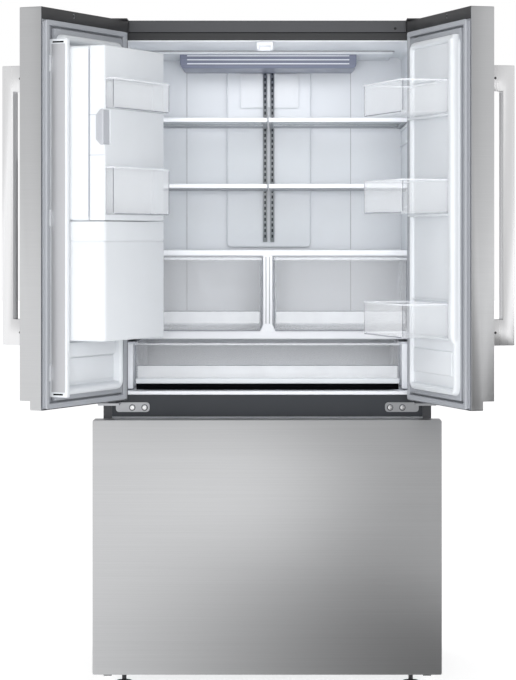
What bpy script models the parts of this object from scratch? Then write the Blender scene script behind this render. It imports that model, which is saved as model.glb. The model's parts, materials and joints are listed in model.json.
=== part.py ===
"""French door refrigerator with a bottom freezer drawer, in metres, +Z up, front facing -Y.

Everything is drawn in the cabinet's own frame: X=0 on its centre line, Y=0 on the case's front
plane, Z=0 on the floor. The doors are drawn closed, then turned open on their hinge pins.
"""

import math
from collections import namedtuple

import bmesh
import bpy
from mathutils import Matrix, Vector

# Driving dimensions
OUTER_HALF = 0.454  # half the width across the doors and the drawer front
CASE_HALF = 0.431
CASE_DEPTH = 0.650
CASE_TOP = 1.753
CASE_BOTTOM = 0.030
CAVITY_HALF = 0.380
CAVITY_BACK = 0.590
CAVITY_LOW, CAVITY_HIGH = 0.778, 1.6985
DOOR_LOW, DOOR_HIGH = 0.758, 1.748
DRAWER_LOW, DRAWER_HIGH = 0.046, 0.708
FRONT = -0.076  # outer face of the doors and the drawer
INNER = -0.0155  # inner face of the door cores
CENTRE_GAP = 0.002  # from the centre line to a closed door's free edge
PIN_X, PIN_Y = 0.417, -0.057  # hinge pins
LEFT_OPEN = math.radians(114.3)
RIGHT_OPEN = math.radians(107.3)
ORIGIN_SHIFT = (0.019, -0.090, 0.0)  # puts the open appliance's box centre over the origin

GAP = 0.0003  # between pieces that touch
SHEET = 0.0015
FLANGE = 0.022  # front fold of the side panels
RAIL_DEPTH = 0.030
SKIN = 0.0012
SKIN_WRAP = -0.016  # how far back the steel skin wraps round the edges
SKIN_CORNER, CORE_CORNER = 0.004, 0.0025
GASKET_BACK = -0.0012
GASKET_WIDTH = 0.014
GASKET_LOW, GASKET_HIGH = 0.762, 1.716
BIN_WALL = 0.0025
LINER_HALF = CASE_HALF - SHEET - GAP

# Drawer fronts and inner fittings
SHELF_FRONT, SHELF_BACK = 0.175, 0.5595
UPPER_SHELF, MIDDLE_SHELF = 1.505, 1.326
FREEZER_LOW, FREEZER_HIGH = 0.095, 0.664
FREEZER_BACK, COIL_BACK, COIL_FLOOR = 0.405, 0.590, 0.310
MACHINE_FRONT, MACHINE_TOP = 0.435, 0.285

# Left door: the dispenser, the ice room and what hangs on them
NOOK_X = (-0.338, -0.118)
NOOK_Z = (0.975, 1.2185)
PANEL_TOP = 1.375
NOOK_BACK = 0.020
ICE_X = (-0.3745, -0.050)
ICE_FRONT = 0.0895  # front of the ice housing
ICE_Z = (1.222, 1.653)
BULGE_LOW = 0.928
BULGE_FRONT = 0.1345
ICE_HINGE = (-0.3725, 0.0923)
FLAP_HINGE = (-0.0245, -0.008)
FLAP_LEVELS = (0.85, 1.23, 1.61)  # middles of the flap's three hinge arms
PADDLE_AXIS = ((NOOK_X[0] + NOOK_X[1]) / 2, -0.017, 1.180)
ICE_DOOR_POCKETS = ((1.2385, 1.400), (1.490, 1.640))
ICE_DOOR_BINS = (("dairy_bin", 1.4985, 1.5735), ("milk_bin", 1.2390, 1.3560))
RIGHT_BINS = (("upper", 1.491, 1.573), ("middle", 1.243, 1.327), ("lower", 0.935, 1.019))

# Rails, hinges and feet
MID_RAIL_LOW, MID_RAIL_HIGH = 0.712, 0.769
TOP_RAIL_LOW, TOP_RAIL_STEP = 1.701, 1.721
LINERS_MEET = 0.700
PIN_RADIUS, PIN_HOLE = 0.005, 0.0065
LOWER_PIN_TOP, UPPER_PIN_LOW = 0.768, 1.738
FOOT_X, FOOT_Y = 0.380, 0.060
FOOT_THREAD = 0.006
ROLLER_Y, ROLLER_Z = 0.600, 0.014
HANDLE_LOW, HANDLE_HIGH, HANDLE_FOOT = 0.916, 1.606, 0.065
HANDLE_REACH, HANDLE_THICK = 0.064, 0.032
HANDLE_X = (0.025, 0.050)

# Machinery
COMPRESSOR_X, COMPRESSOR_Y = 0.24, 0.545
FAN_CENTRE = (-0.150, 0.545, 0.140)
FAN_BLADES, FAN_HUB, FAN_REACH = 5, 0.018, 0.052
AIR_SLOT = (0.100, 0.012)

# Boxes, each given by its X, Y and Z ranges
DUCT = ((-0.120, 0.120), (0.572, CAVITY_BACK - GAP), (1.155, 1.665))
LADDER = ((-0.010, 0.010), (0.560, 0.572 - GAP), (1.170, 1.655))
LAMP = ((-0.245, 0.245), (0.350, 0.560), (1.652, CAVITY_HIGH - GAP))
PANTRY = ((-0.3535, 0.3535), (0.044, 0.560), (0.7795, 0.9035))
PANTRY_SILL = ((-0.345, 0.345), (0.0462, 0.060), (0.7800, 0.8000))
FREEZER_BIN = ((-0.358, 0.358), (0.010, 0.378), (0.105, 0.440))
FREEZER_TRAY = ((-0.366, 0.366), (0.015, 0.350), (0.4405, 0.550))
ICE_BUCKET = ((-0.350, -0.075), (0.000, 0.085), (1.238, 1.470))
LATCH = ((ICE_X[1] + GAP, -0.0455), (0.0935, 0.1340), (1.408, 1.496))
GRIP_GROOVE = ((-0.40, 0.40), (-0.062, -0.034), (0.684, 0.72))
FLAP_POST = ((-0.0275, 0.0235), (0.0005, 0.0145), (0.790, 1.670))

Frame = namedtuple("Frame", "empty pivot")
LOOKS = {}


def clear_scene():
    for obj in list(bpy.data.objects):
        bpy.data.objects.remove(obj, do_unlink=True)


def look(name, colour, roughness, metallic=0.0, alpha=1.0):
    material = bpy.data.materials.new(name)
    material.use_nodes = True
    shader = material.node_tree.nodes["Principled BSDF"]
    shader.inputs["Base Color"].default_value = (*colour, 1.0)
    shader.inputs["Roughness"].default_value = roughness
    shader.inputs["Metallic"].default_value = metallic
    shader.inputs["Alpha"].default_value = alpha
    LOOKS[name] = material


def make_looks():
    look("steel", (0.62, 0.63, 0.64), 0.32, 1.0)
    look("case_paint", (0.16, 0.165, 0.175), 0.45)
    look("rail_paint", (0.055, 0.062, 0.072), 0.4)
    look("white_liner", (0.82, 0.85, 0.9), 0.35)
    look("door_frame", (0.44, 0.46, 0.49), 0.5)
    look("gasket_grey", (0.40, 0.42, 0.45), 0.6)
    look("clear_plastic", (0.85, 0.9, 0.95), 0.08, 0.0, 0.3)
    look("shelf_glass", (0.8, 0.88, 0.9), 0.05, 0.0, 0.4)
    look("black_plastic", (0.02, 0.02, 0.022), 0.4)
    look("zinc", (0.6, 0.6, 0.6), 0.35, 1.0)
    look("galvanised", (0.45, 0.46, 0.47), 0.5, 1.0)
    look("aluminium_fins", (0.7, 0.7, 0.72), 0.35, 1.0)
    look("compressor_paint", (0.015, 0.015, 0.017), 0.35)


# Outlines and solids ------------------------------------------------------------------------


def rect(a0, a1, b0, b1):
    return [(a0, b0), (a1, b0), (a1, b1), (a0, b1)]


def rounded(a0, a1, b0, b1, radius, steps=3):
    """A rectangle with round corners, each of them an arc of a few steps."""
    corners = (
        (a1 - radius, b0 + radius, -90),
        (a1 - radius, b1 - radius, 0),
        (a0 + radius, b1 - radius, 90),
        (a0 + radius, b0 + radius, 180),
    )
    points = []
    for ca, cb, start in corners:
        for step in range(steps + 1):
            angle = math.radians(start + 90 * step / steps)
            points.append((ca + radius * math.cos(angle), cb + radius * math.sin(angle)))
    return points


def circle(ca, cb, radius, count=24):
    turn = 2 * math.pi / count
    return [(ca + radius * math.cos(i * turn), cb + radius * math.sin(i * turn)) for i in range(count)]


def ring(outline, axis, level):
    """The outline as points in space, in the plane across one axis."""
    if axis == "X":
        return [Vector((level, a, b)) for a, b in outline]
    if axis == "Y":
        return [Vector((a, level, b)) for a, b in outline]
    return [Vector((a, b, level)) for a, b in outline]


def loft(rings):
    """One closed body through rings of equal point counts, with a cap on the first and the last."""
    body = bmesh.new()
    loops = [[body.verts.new(point) for point in points] for points in rings]
    count = len(loops[0])
    for low, high in zip(loops, loops[1:]):
        for i in range(count):
            j = (i + 1) % count
            body.faces.new((low[i], low[j], high[j], high[i]))
    body.faces.new(loops[0])
    body.faces.new(loops[-1])
    bmesh.ops.recalc_face_normals(body, faces=body.faces)
    return body


def prism(outline, axis, low, high):
    return loft([ring(outline, axis, low), ring(outline, axis, high)])


def block(x, y, z):
    return prism(rect(*x, *y), "Z", *z)


def cup(outer, inner, axis, closed_end, open_end, floor):
    """A body that is open at one end: its outside, then its rim, then its inside down to the floor."""
    return loft(
        [
            ring(outer, axis, closed_end),
            ring(outer, axis, open_end),
            ring(inner, axis, open_end),
            ring(inner, axis, floor),
        ]
    )


def frame_ring(outer, inner, axis, low, high):
    """A closed loop of constant section, such as a gasket."""
    body = bmesh.new()
    rings = [
        ring(outer, axis, low),
        ring(outer, axis, high),
        ring(inner, axis, high),
        ring(inner, axis, low),
    ]
    loops = [[body.verts.new(point) for point in points] for points in rings]
    count = len(outer)
    for k in range(4):
        for i in range(count):
            j = (i + 1) % count
            a, b = loops[k], loops[(k + 1) % 4]
            body.faces.new((a[i], a[j], b[j], b[i]))
    bmesh.ops.recalc_face_normals(body, faces=body.faces)
    return body


def turned(profile, centre, axis="Z", count=20):
    """A body of revolution from (radius, height) pairs, first at the bottom."""
    cx, cy, cz = centre
    rings = []
    for radius, height in profile:
        if axis == "Z":
            rings.append(ring(circle(cx, cy, radius, count), "Z", cz + height))
        else:
            rings.append(ring(circle(cy, cz, radius, count), "X", cx + height))
    return loft(rings)


def bin_box(x, y, z, wall=BIN_WALL, radius=0.012, floor=None):
    """An open-topped bin with round upright corners."""
    inner_radius = max(radius - wall, 0.001)
    outer = rounded(*x, *y, radius)
    inner = rounded(x[0] + wall, x[1] - wall, y[0] + wall, y[1] - wall, inner_radius)
    return cup(outer, inner, "Z", z[0], z[1], z[0] + (floor or wall))


# Frames and objects -------------------------------------------------------------------------


def add_frame(name, pivot, parent=None, turn=0.0):
    """An empty on a joint's axis. What hangs on it is drawn in the cabinet's frame."""
    empty = bpy.data.objects.new(name, None)
    bpy.context.scene.collection.objects.link(empty)
    pivot = Vector(pivot)
    if parent:
        empty.parent = parent.empty
        empty.location = pivot - parent.pivot
    else:
        empty.location = Vector(ORIGIN_SHIFT) + pivot
    empty.rotation_euler.z = turn
    return Frame(empty, pivot)


def add_mesh(name, body, frame):
    mesh = bpy.data.meshes.new(name)
    bmesh.ops.transform(body, matrix=Matrix.Translation(-frame.pivot), verts=body.verts)
    body.to_mesh(mesh)
    body.free()
    obj = bpy.data.objects.new(name, mesh)
    bpy.context.scene.collection.objects.link(obj)
    obj.parent = frame.empty
    return obj


def add_helper(obj, body, frame, operation):
    """A hidden solid that is joined to the object or cut from it."""
    helper = add_mesh(f"{obj.name}_{operation.lower()}_{len(obj.modifiers)}", body, frame)
    helper.hide_render = True
    helper.display_type = "WIRE"
    boolean = obj.modifiers.new(operation.title(), "BOOLEAN")
    boolean.operation = operation
    boolean.object = helper


def add_part(name, body, finish, frame, join=(), cut=(), bevel=0.0, smooth=False):
    obj = add_mesh(name, body, frame)
    obj.data.materials.append(LOOKS[finish])
    for extra in join:
        add_helper(obj, extra, frame, "UNION")
    for extra in cut:
        add_helper(obj, extra, frame, "DIFFERENCE")
    if bevel:
        edges = obj.modifiers.new("Bevel", "BEVEL")
        edges.width = bevel
        edges.segments = 2
        edges.limit_method = "ANGLE"
    if smooth:
        obj.data.shade_smooth()
        obj.data.set_sharp_from_angle(angle=math.radians(35))
    return obj


def both_sides(side, low, high):
    """An X range given on the right side, for the side asked for (-1 left, 1 right)."""
    return (low, high) if side > 0 else (-high, -low)


# The case -----------------------------------------------------------------------------------


def make_case_panels(root):
    for side, name in ((-1, "case_side_left"), (1, "case_side_right")):
        inside = CASE_HALF - SHEET
        plan = [
            (CASE_HALF, 0.0),
            (CASE_HALF - FLANGE, 0.0),
            (CASE_HALF - FLANGE, SHEET),
            (inside, SHEET),
            (inside, CASE_DEPTH),
            (CASE_HALF, CASE_DEPTH),
        ]
        outline = [(side * x, y) for x, y in plan]
        add_part(name, prism(outline, "Z", CASE_BOTTOM, CASE_TOP), "case_paint", root)
    inner_back = CASE_DEPTH - SHEET - GAP
    half = (-LINER_HALF, LINER_HALF)
    top = block(half, (RAIL_DEPTH + GAP, inner_back), (CASE_TOP - SHEET, CASE_TOP))
    add_part("case_top", top, "case_paint", root)
    back_y = (CASE_DEPTH - SHEET, CASE_DEPTH)
    back = block(half, back_y, (MACHINE_TOP + GAP, CASE_TOP - SHEET - GAP))
    add_part("case_back", back, "galvanised", root)
    make_machine_cover(root, half, back_y)


def make_machine_cover(root, half, back_y):
    """The rear cover of the machine compartment, with rows of air slots."""
    slots = []
    through = (back_y[0] - 0.01, back_y[1] + 0.01)
    rows, columns = 4, 5
    for row in range(rows):
        for column in range(columns):
            x = -0.34 + 0.145 * column
            z = 0.085 + 0.045 * row
            slots.append(block((x, x + AIR_SLOT[0]), through, (z, z + AIR_SLOT[1])))
    cover = block(half, back_y, (0.061, MACHINE_TOP - GAP))
    add_part("machine_cover", cover, "galvanised", root, cut=slots)


def make_base_pan(root):
    low, high = CASE_BOTTOM, CASE_BOTTOM + SHEET
    front, rear = RAIL_DEPTH + GAP, CASE_DEPTH - 0.002
    rear_lip, front_lip = 0.060, 0.0395
    section = [
        (front, low),
        (rear, low),
        (rear, rear_lip),
        (rear - SHEET, rear_lip),
        (rear - SHEET, high),
        (front + SHEET, high),
        (front + SHEET, front_lip),
        (front, front_lip),
    ]
    lugs = []
    cuts = []
    for x in (-0.389, -0.340, 0.335, 0.384):
        lug_y = (ROLLER_Y - 0.012, ROLLER_Y + 0.012)
        lugs.append(block((x, x + 0.005), lug_y, (0.006, low + 0.0008)))
        cuts.append(prism(circle(ROLLER_Y, ROLLER_Z, 0.0046), "X", x - 0.002, x + 0.007))
    for x in (-FOOT_X, FOOT_X):
        cuts.append(prism(circle(x, FOOT_Y, FOOT_THREAD + 0.0015), "Z", low - 0.01, high + 0.01))
    pan = prism(section, "X", -LINER_HALF, LINER_HALF)
    add_part("base_pan", pan, "galvanised", root, join=lugs, cut=cuts)


def make_rails(root):
    half = CASE_HALF - FLANGE - GAP
    mid = block((-half, half), (0.0, RAIL_DEPTH), (MID_RAIL_LOW, MID_RAIL_HIGH))
    add_part("mid_rail", mid, "rail_paint", root)
    step = 0.003
    section = [
        (0.0, TOP_RAIL_STEP),
        (0.0, CASE_TOP),
        (RAIL_DEPTH, CASE_TOP),
        (RAIL_DEPTH, TOP_RAIL_LOW),
        (step, TOP_RAIL_LOW),
        (step, TOP_RAIL_STEP),
    ]
    add_part("top_rail", prism(section, "X", -half, half), "case_paint", root)


def make_liners(root):
    front, back = SHEET + GAP, CASE_DEPTH - SHEET - GAP
    behind = RAIL_DEPTH + GAP
    section = [
        (front, MID_RAIL_HIGH + GAP),
        (front, TOP_RAIL_LOW - GAP),
        (behind, TOP_RAIL_LOW - GAP),
        (behind, CASE_TOP - SHEET - GAP),
        (back, CASE_TOP - SHEET - GAP),
        (back, LINERS_MEET),
        (behind, LINERS_MEET),
        (behind, MID_RAIL_HIGH + GAP),
    ]
    opening = rounded(-CAVITY_HALF, CAVITY_HALF, CAVITY_LOW, CAVITY_HIGH, 0.014)
    add_part(
        "fridge_liner",
        prism(section, "X", -LINER_HALF, LINER_HALF),
        "white_liner",
        root,
        cut=[prism(opening, "Y", -0.01, CAVITY_BACK)],
    )
    underside = 0.0405
    outside = [
        (front, underside),
        (MACHINE_FRONT, underside),
        (MACHINE_FRONT, MACHINE_TOP),
        (back, MACHINE_TOP),
        (back, LINERS_MEET - GAP),
        (front, LINERS_MEET - GAP),
    ]
    inside = [
        (-0.01, FREEZER_LOW),
        (FREEZER_BACK, FREEZER_LOW),
        (FREEZER_BACK, COIL_FLOOR),
        (COIL_BACK, COIL_FLOOR),
        (COIL_BACK, FREEZER_HIGH),
        (-0.01, FREEZER_HIGH),
    ]
    add_part(
        "freezer_liner",
        prism(outside, "X", -LINER_HALF, LINER_HALF),
        "white_liner",
        root,
        cut=[prism(inside, "X", -CAVITY_HALF, CAVITY_HALF)],
    )


def make_hinges(root):
    """Upper hinges reach over the doors from the top rail; middle ones are screwed to the rail."""
    for side, word in ((-1, "left"), (1, "right")):
        x = both_sides(side, 0.364, 0.4305)
        plate = block(x, (-0.072, -GAP), (DOOR_HIGH + 0.0006, CASE_TOP - 0.0004))
        pin_top = DOOR_HIGH + 0.002
        stop = block(both_sides(side, 0.364, 0.381), (-0.0137, -GAP), (TOP_RAIL_STEP + 0.0005, pin_top))
        pin = hinge_pin(side, UPPER_PIN_LOW, pin_top)
        add_part(f"upper_hinge_{word}", plate, "black_plastic", root, join=[stop, pin])
        outline = rounded(*both_sides(side, 0.3095, 0.398), 0.724, 0.749, 0.008)
        face = prism(outline, "Y", -0.0035, -GAP)
        arm = block(both_sides(side, 0.385, 0.440), (-0.080, -GAP), (0.7455, 0.7515))
        low_pin = hinge_pin(side, 0.750, LOWER_PIN_TOP)
        add_part(f"mid_hinge_{word}", face, "zinc", root, join=[arm, low_pin])


def hinge_pin(side, low, high, radius=PIN_RADIUS):
    return prism(circle(side * PIN_X, PIN_Y, radius, 12), "Z", low, high)


def make_feet():
    stem = FOOT_THREAD
    profile = [(0.019, 0.0), (0.020, 0.002), (0.020, 0.008), (stem, 0.011), (stem, 0.0385)]
    for side, word in ((-1, "left"), (1, "right")):
        pivot = (side * FOOT_X, FOOT_Y, 0.0)
        foot = add_frame(f"foot_{word}_axis", pivot)
        body = turned(profile, pivot, "Z", 16)
        add_part(f"foot_{word}", body, "black_plastic", foot, smooth=True)


def make_rollers():
    """Two rear rollers on one axle, drawn from end to end."""
    centre = (0.0, ROLLER_Y, ROLLER_Z)
    axle_radius, wheel_radius = 0.004, ROLLER_Z
    half = [
        (wheel_radius, 0.350),
        (wheel_radius, 0.378),
        (axle_radius, 0.379),
        (axle_radius, 0.392),
    ]
    right = [(axle_radius, 0.349), *half]
    left = [(radius, -along) for radius, along in reversed(right)]
    body = turned(left + right, centre, "X", 16)
    add_part("rear_rollers", body, "black_plastic", add_frame("roller_axis", centre), smooth=True)


# The refrigerating machinery ----------------------------------------------------------------


def finned_block(x, y, z, count):
    """A coil block seen from above: a solid core with fins along its front and its back."""
    pitch = (x[1] - x[0]) / (2 * count - 1)
    depth = 0.3 * (y[1] - y[0])
    front, back = [], []
    for i in range(count):
        a = x[0] + 2 * i * pitch
        b = a + pitch
        front += [(a, y[0] + depth), (a, y[0]), (b, y[0]), (b, y[0] + depth)]
        back += [(a, y[1] - depth), (a, y[1]), (b, y[1]), (b, y[1] - depth)]
    outline = front[1:-1] + back[1:-1][::-1]
    return prism(outline, "Z", *z)


def make_machinery(root):
    profile = [
        (0.085, 0.0),
        (0.085, 0.010),
        (0.070, 0.014),
        (0.080, 0.060),
        (0.083, 0.110),
        (0.080, 0.150),
        (0.060, 0.180),
        (0.025, 0.195),
    ]
    floor = CASE_BOTTOM + SHEET + GAP
    body = turned(profile, (COMPRESSOR_X, COMPRESSOR_Y, floor), "Z", 24)
    add_part("compressor", body, "compressor_paint", root, smooth=True)
    coil = finned_block((-0.38, -0.20), (0.47, 0.62), (floor, 0.235), 9)
    add_part("condenser", coil, "aluminium_fins", root)
    cold = finned_block((-0.28, 0.28), (0.485, 0.565), (COIL_FLOOR + 0.02, 0.53), 15)
    foot = block((-0.26, 0.26), (0.515, 0.535), (COIL_FLOOR + GAP, COIL_FLOOR + 0.04))
    add_part("evaporator", cold, "aluminium_fins", root, join=[foot])
    hole = prism(circle(0.0, 0.58, 0.055), "Y", 0.42, 0.47)
    cover = block(
        (-CAVITY_HALF + GAP, CAVITY_HALF - GAP),
        (0.440, 0.446),
        (COIL_FLOOR + GAP, FREEZER_HIGH - GAP),
    )
    add_part("evaporator_cover", cover, "white_liner", root, cut=[hole])
    make_fan(root)


def make_fan(root):
    """The condenser fan: five blades round a hub, turning on an axis along X."""
    along, y, z = FAN_CENTRE
    axis = add_frame("fan_axis", FAN_CENTRE)
    outline = []
    count = 60
    for i in range(count):
        angle = 2 * math.pi * i / count
        lobe = max(0.0, math.cos(FAN_BLADES * angle)) ** 0.5
        radius = FAN_HUB + FAN_REACH * lobe
        outline.append((y + radius * math.cos(angle), z + radius * math.sin(angle)))
    half_blade, half_hub = 0.006, 0.014
    blade_disc = prism(outline, "X", along - half_blade, along + half_blade)
    hub = prism(circle(y, z, FAN_HUB + 0.004, 20), "X", along - half_hub, along + half_hub)
    add_part("condenser_fan", hub, "black_plastic", axis, join=[blade_disc])


# Inside the refrigerator --------------------------------------------------------------------


def make_cavity_fittings(root):
    add_part("rear_duct", block(*DUCT), "white_liner", root, bevel=0.004)
    add_part("shelf_ladder", block(*LADDER), "zinc", root)
    add_part("ceiling_lamp", block(*LAMP), "white_liner", root, bevel=0.005)


def make_shelf(name, x, top, root):
    """A glass shelf: a flat plate with a deeper trim along the front and the back."""
    front_trim, back_trim = SHELF_FRONT + 0.014, SHELF_BACK - 0.012
    section = [
        (SHELF_FRONT, top - 0.012),
        (front_trim, top - 0.012),
        (front_trim, top - 0.005),
        (back_trim, top - 0.005),
        (back_trim, top - 0.010),
        (SHELF_BACK, top - 0.010),
        (SHELF_BACK, top + 0.004),
        (back_trim, top + 0.004),
        (back_trim, top),
        (front_trim - 0.004, top),
        (front_trim - 0.004, top + 0.002),
        (SHELF_FRONT, top + 0.002),
    ]
    add_part(name, prism(section, "X", *x), "shelf_glass", root)


def make_shelves(root):
    edge = CAVITY_HALF - GAP
    for level, top in (("upper", UPPER_SHELF), ("middle", MIDDLE_SHELF)):
        make_shelf(f"shelf_{level}_left", (-edge, -0.001), top, root)
        make_shelf(f"shelf_{level}_right", (0.001, edge), top, root)


def make_crisper_frame(root):
    """The crisper cover, the upright between the crispers and the floor they run on."""
    edge = CAVITY_HALF - GAP
    post = 0.013
    floor_low, floor_high = 0.908, 0.930
    cover_low, cover_high = 1.133, 1.149
    section = [
        (-edge, floor_low),
        (edge, floor_low),
        (edge, floor_high),
        (post, floor_high),
        (post, cover_low),
        (edge, cover_low),
        (edge, cover_high),
        (-edge, cover_high),
        (-edge, cover_low),
        (-post, cover_low),
        (-post, floor_high),
        (-edge, floor_high),
    ]
    add_part("crisper_frame", prism(section, "Y", 0.165, 0.585), "white_liner", root)


def make_drawers():
    for side, word in ((-1, "left"), (1, "right")):
        slide = add_frame(f"crisper_{word}_slide", (side * 0.19, 0.37, 1.03))
        x = both_sides(side, 0.0145, 0.3785)
        body = bin_box(x, (0.158, 0.575), (0.9315, 1.1285), floor=0.004)
        add_part(f"crisper_{word}", body, "clear_plastic", slide)
    slide = add_frame("pantry_slide", (0.0, 0.30, 0.84))
    body = bin_box(*PANTRY, floor=0.004)
    add_part("pantry_drawer", body, "clear_plastic", slide, join=[block(*PANTRY_SILL)])


# The freezer drawer -------------------------------------------------------------------------


def make_freezer_drawer():
    slide = add_frame("freezer_drawer_slide", (0.0, FRONT, 0.377))
    half = OUTER_HALF
    inside = half - SKIN
    core = inside - GAP
    outer = rounded(-half, half, DRAWER_LOW, DRAWER_HIGH, SKIN_CORNER)
    inner = rounded(-inside, inside, DRAWER_LOW + SKIN, DRAWER_HIGH - SKIN, SKIN_CORNER - SKIN)
    skin = cup(outer, inner, "Y", FRONT, SKIN_WRAP, FRONT + SKIN)
    add_part("freezer_front_skin", skin, "steel", slide, cut=[block(*GRIP_GROOVE)])
    inset = SKIN + GAP
    outline = rounded(-core, core, DRAWER_LOW + inset, DRAWER_HIGH - inset, CORE_CORNER)
    body = prism(outline, "Y", FRONT + inset, INNER)
    add_part("freezer_front_core", body, "door_frame", slide, cut=[block(*GRIP_GROOVE)])
    width = 0.018
    half_seal, low, high = 0.409, 0.062, 0.7055
    outer = rect(-half_seal, half_seal, low, high)
    inner = rect(-half_seal + width, half_seal - width, low + width, high - width)
    seal = frame_ring(outer, inner, "Y", INNER + GAP, GASKET_BACK)
    add_part("freezer_gasket", seal, "white_liner", slide)
    rail_out, rail_in = 0.374, 0.362
    rear_out, rear_in = 0.394, 0.384
    front = INNER + GAP
    carriage = [
        (-rail_out, front),
        (-rail_in, front),
        (-rail_in, rear_in),
        (rail_in, rear_in),
        (rail_in, front),
        (rail_out, front),
        (rail_out, rear_out),
        (-rail_out, rear_out),
    ]
    add_part("freezer_carriage", prism(carriage, "Z", 0.300, 0.340), "galvanised", slide)
    basket = bin_box(*FREEZER_BIN, wall=0.003, radius=0.02)
    add_part("freezer_bin", basket, "white_liner", slide)
    tray_slide = add_frame("freezer_tray_slide", (0.0, 0.18, 0.5), slide)
    tray = bin_box(*FREEZER_TRAY, radius=0.02)
    add_part("freezer_tray", tray, "clear_plastic", tray_slide)


# The doors ----------------------------------------------------------------------------------


def door_frame_empty(side, word, angle):
    turn = angle if side > 0 else -angle
    return add_frame(f"{word}_door_axis", (side * PIN_X, PIN_Y, 1.25), turn=turn)


def make_door_shell(side, word, door, pockets):
    """The folded steel skin and the foamed core behind it, both notched along the bottom."""
    x = both_sides(side, CENTRE_GAP, OUTER_HALF)
    inside = (x[0] + SKIN, x[1] - SKIN)
    core = (inside[0] + GAP, inside[1] - GAP)
    notch = ((x[0] - 0.01, x[1] + 0.01), (FRONT - 0.01, -0.047), (DOOR_LOW - 0.01, 0.781))
    outer = rounded(*x, DOOR_LOW, DOOR_HIGH, SKIN_CORNER)
    inner = rounded(*inside, DOOR_LOW + SKIN, DOOR_HIGH - SKIN, SKIN_CORNER - SKIN)
    skin = cup(outer, inner, "Y", FRONT, SKIN_WRAP, FRONT + SKIN)
    inset = SKIN + GAP
    outline = rounded(*core, DOOR_LOW + inset, DOOR_HIGH - inset, CORE_CORNER)
    filling = prism(outline, "Y", FRONT + inset, INNER)
    for name, body, finish in (("skin", skin, "steel"), ("core", filling, "door_frame")):
        cuts = [block(*notch)] + [block(*pocket) for pocket in pockets]
        cuts.append(hinge_pin(side, DOOR_LOW - 0.01, LOWER_PIN_TOP + 0.004, PIN_HOLE))
        cuts.append(hinge_pin(side, UPPER_PIN_LOW - 0.004, DOOR_HIGH + 0.01, PIN_HOLE))
        add_part(f"{word}_door_{name}", body, finish, door, cut=cuts)


def make_door_seal(side, word, door):
    x = both_sides(side, 0.006, PIN_X)
    w = GASKET_WIDTH
    outer = rect(*x, GASKET_LOW, GASKET_HIGH)
    inner = rect(x[0] + w, x[1] - w, GASKET_LOW + w, GASKET_HIGH - w)
    seal = frame_ring(outer, inner, "Y", INNER + GAP, GASKET_BACK)
    add_part(f"{word}_door_gasket", seal, "gasket_grey", door)


def make_handle(side, word, door):
    low, high = HANDLE_LOW, HANDLE_HIGH
    outer, inner, base = FRONT - HANDLE_REACH, FRONT - HANDLE_THICK, FRONT - GAP
    section = [
        (base, low),
        (outer, low),
        (outer, high),
        (base, high),
        (base, high - HANDLE_FOOT),
        (inner, high - HANDLE_FOOT),
        (inner, low + HANDLE_FOOT),
        (base, low + HANDLE_FOOT),
    ]
    bar = prism(section, "X", *both_sides(side, *HANDLE_X))
    add_part(f"{word}_handle", bar, "steel", door, bevel=0.002)


def make_left_door():
    door = door_frame_empty(-1, "left", LEFT_OPEN)
    pocket_x = (NOOK_X[0] - GAP, NOOK_X[1] + GAP)
    pocket = (pocket_x, (FRONT - 0.01, 0.0), (NOOK_Z[0] - GAP, PANEL_TOP + GAP))
    make_door_shell(-1, "left", door, [pocket])
    make_door_seal(-1, "left", door)
    make_handle(-1, "left", door)
    make_left_liner(door)
    make_dispenser(door)
    make_ice_room(door)
    make_flap(door)


def make_left_liner(door):
    face = INNER + GAP
    base = block((-0.400, -0.0515), (face, -0.003), (0.780, 1.698))
    raised = block((-0.3735, -0.052), (-0.010, 0.016), (0.792, 1.688))
    bulge = block(ICE_X, (0.0, BULGE_FRONT), (BULGE_LOW, ICE_Z[0] + 0.0005))
    housing = block(ICE_X, (0.0, ICE_FRONT), (ICE_Z[0] - 0.0005, ICE_Z[1]))
    wall = 0.014
    room = block(
        (ICE_X[0] + wall, ICE_X[1] - wall), (-0.004, 0.11), (ICE_Z[0] + wall, ICE_Z[1] - wall)
    )
    nook_z = (NOOK_Z[0] - GAP, NOOK_Z[1] + GAP)
    nook = block((NOOK_X[0] - GAP, NOOK_X[1] + GAP), (-0.05, NOOK_BACK + GAP), nook_z)
    solids, cuts = [raised, bulge, housing], [room, nook]
    add_part("left_door_liner", base, "white_liner", door, join=solids, cut=cuts)


def make_dispenser(door):
    """A deep nook for the glass, and the control panel's housing above it."""
    front = FRONT - 0.0015
    outer = rect(*NOOK_X, *NOOK_Z)
    wall = 0.004
    inner = rect(NOOK_X[0] + wall, NOOK_X[1] - wall, NOOK_Z[0] + 0.02, NOOK_Z[1] - 0.012)
    nook = cup(outer, inner, "Y", NOOK_BACK, front, NOOK_BACK - 0.003)
    panel = block(NOOK_X, (front, -0.050), (NOOK_Z[1] - 0.008, PANEL_TOP))
    add_part("dispenser_housing", nook, "black_plastic", door, join=[panel])
    lever = add_frame("paddle_axis", PADDLE_AXIS, door)
    half_width = 0.022
    x = (PADDLE_AXIS[0] - half_width, PADDLE_AXIS[0] + half_width)
    paddle = prism(rounded(*x, 1.050, 1.188, 0.012), "Y", -0.020, -0.014)
    add_part("dispenser_paddle", paddle, "black_plastic", lever)


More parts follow.
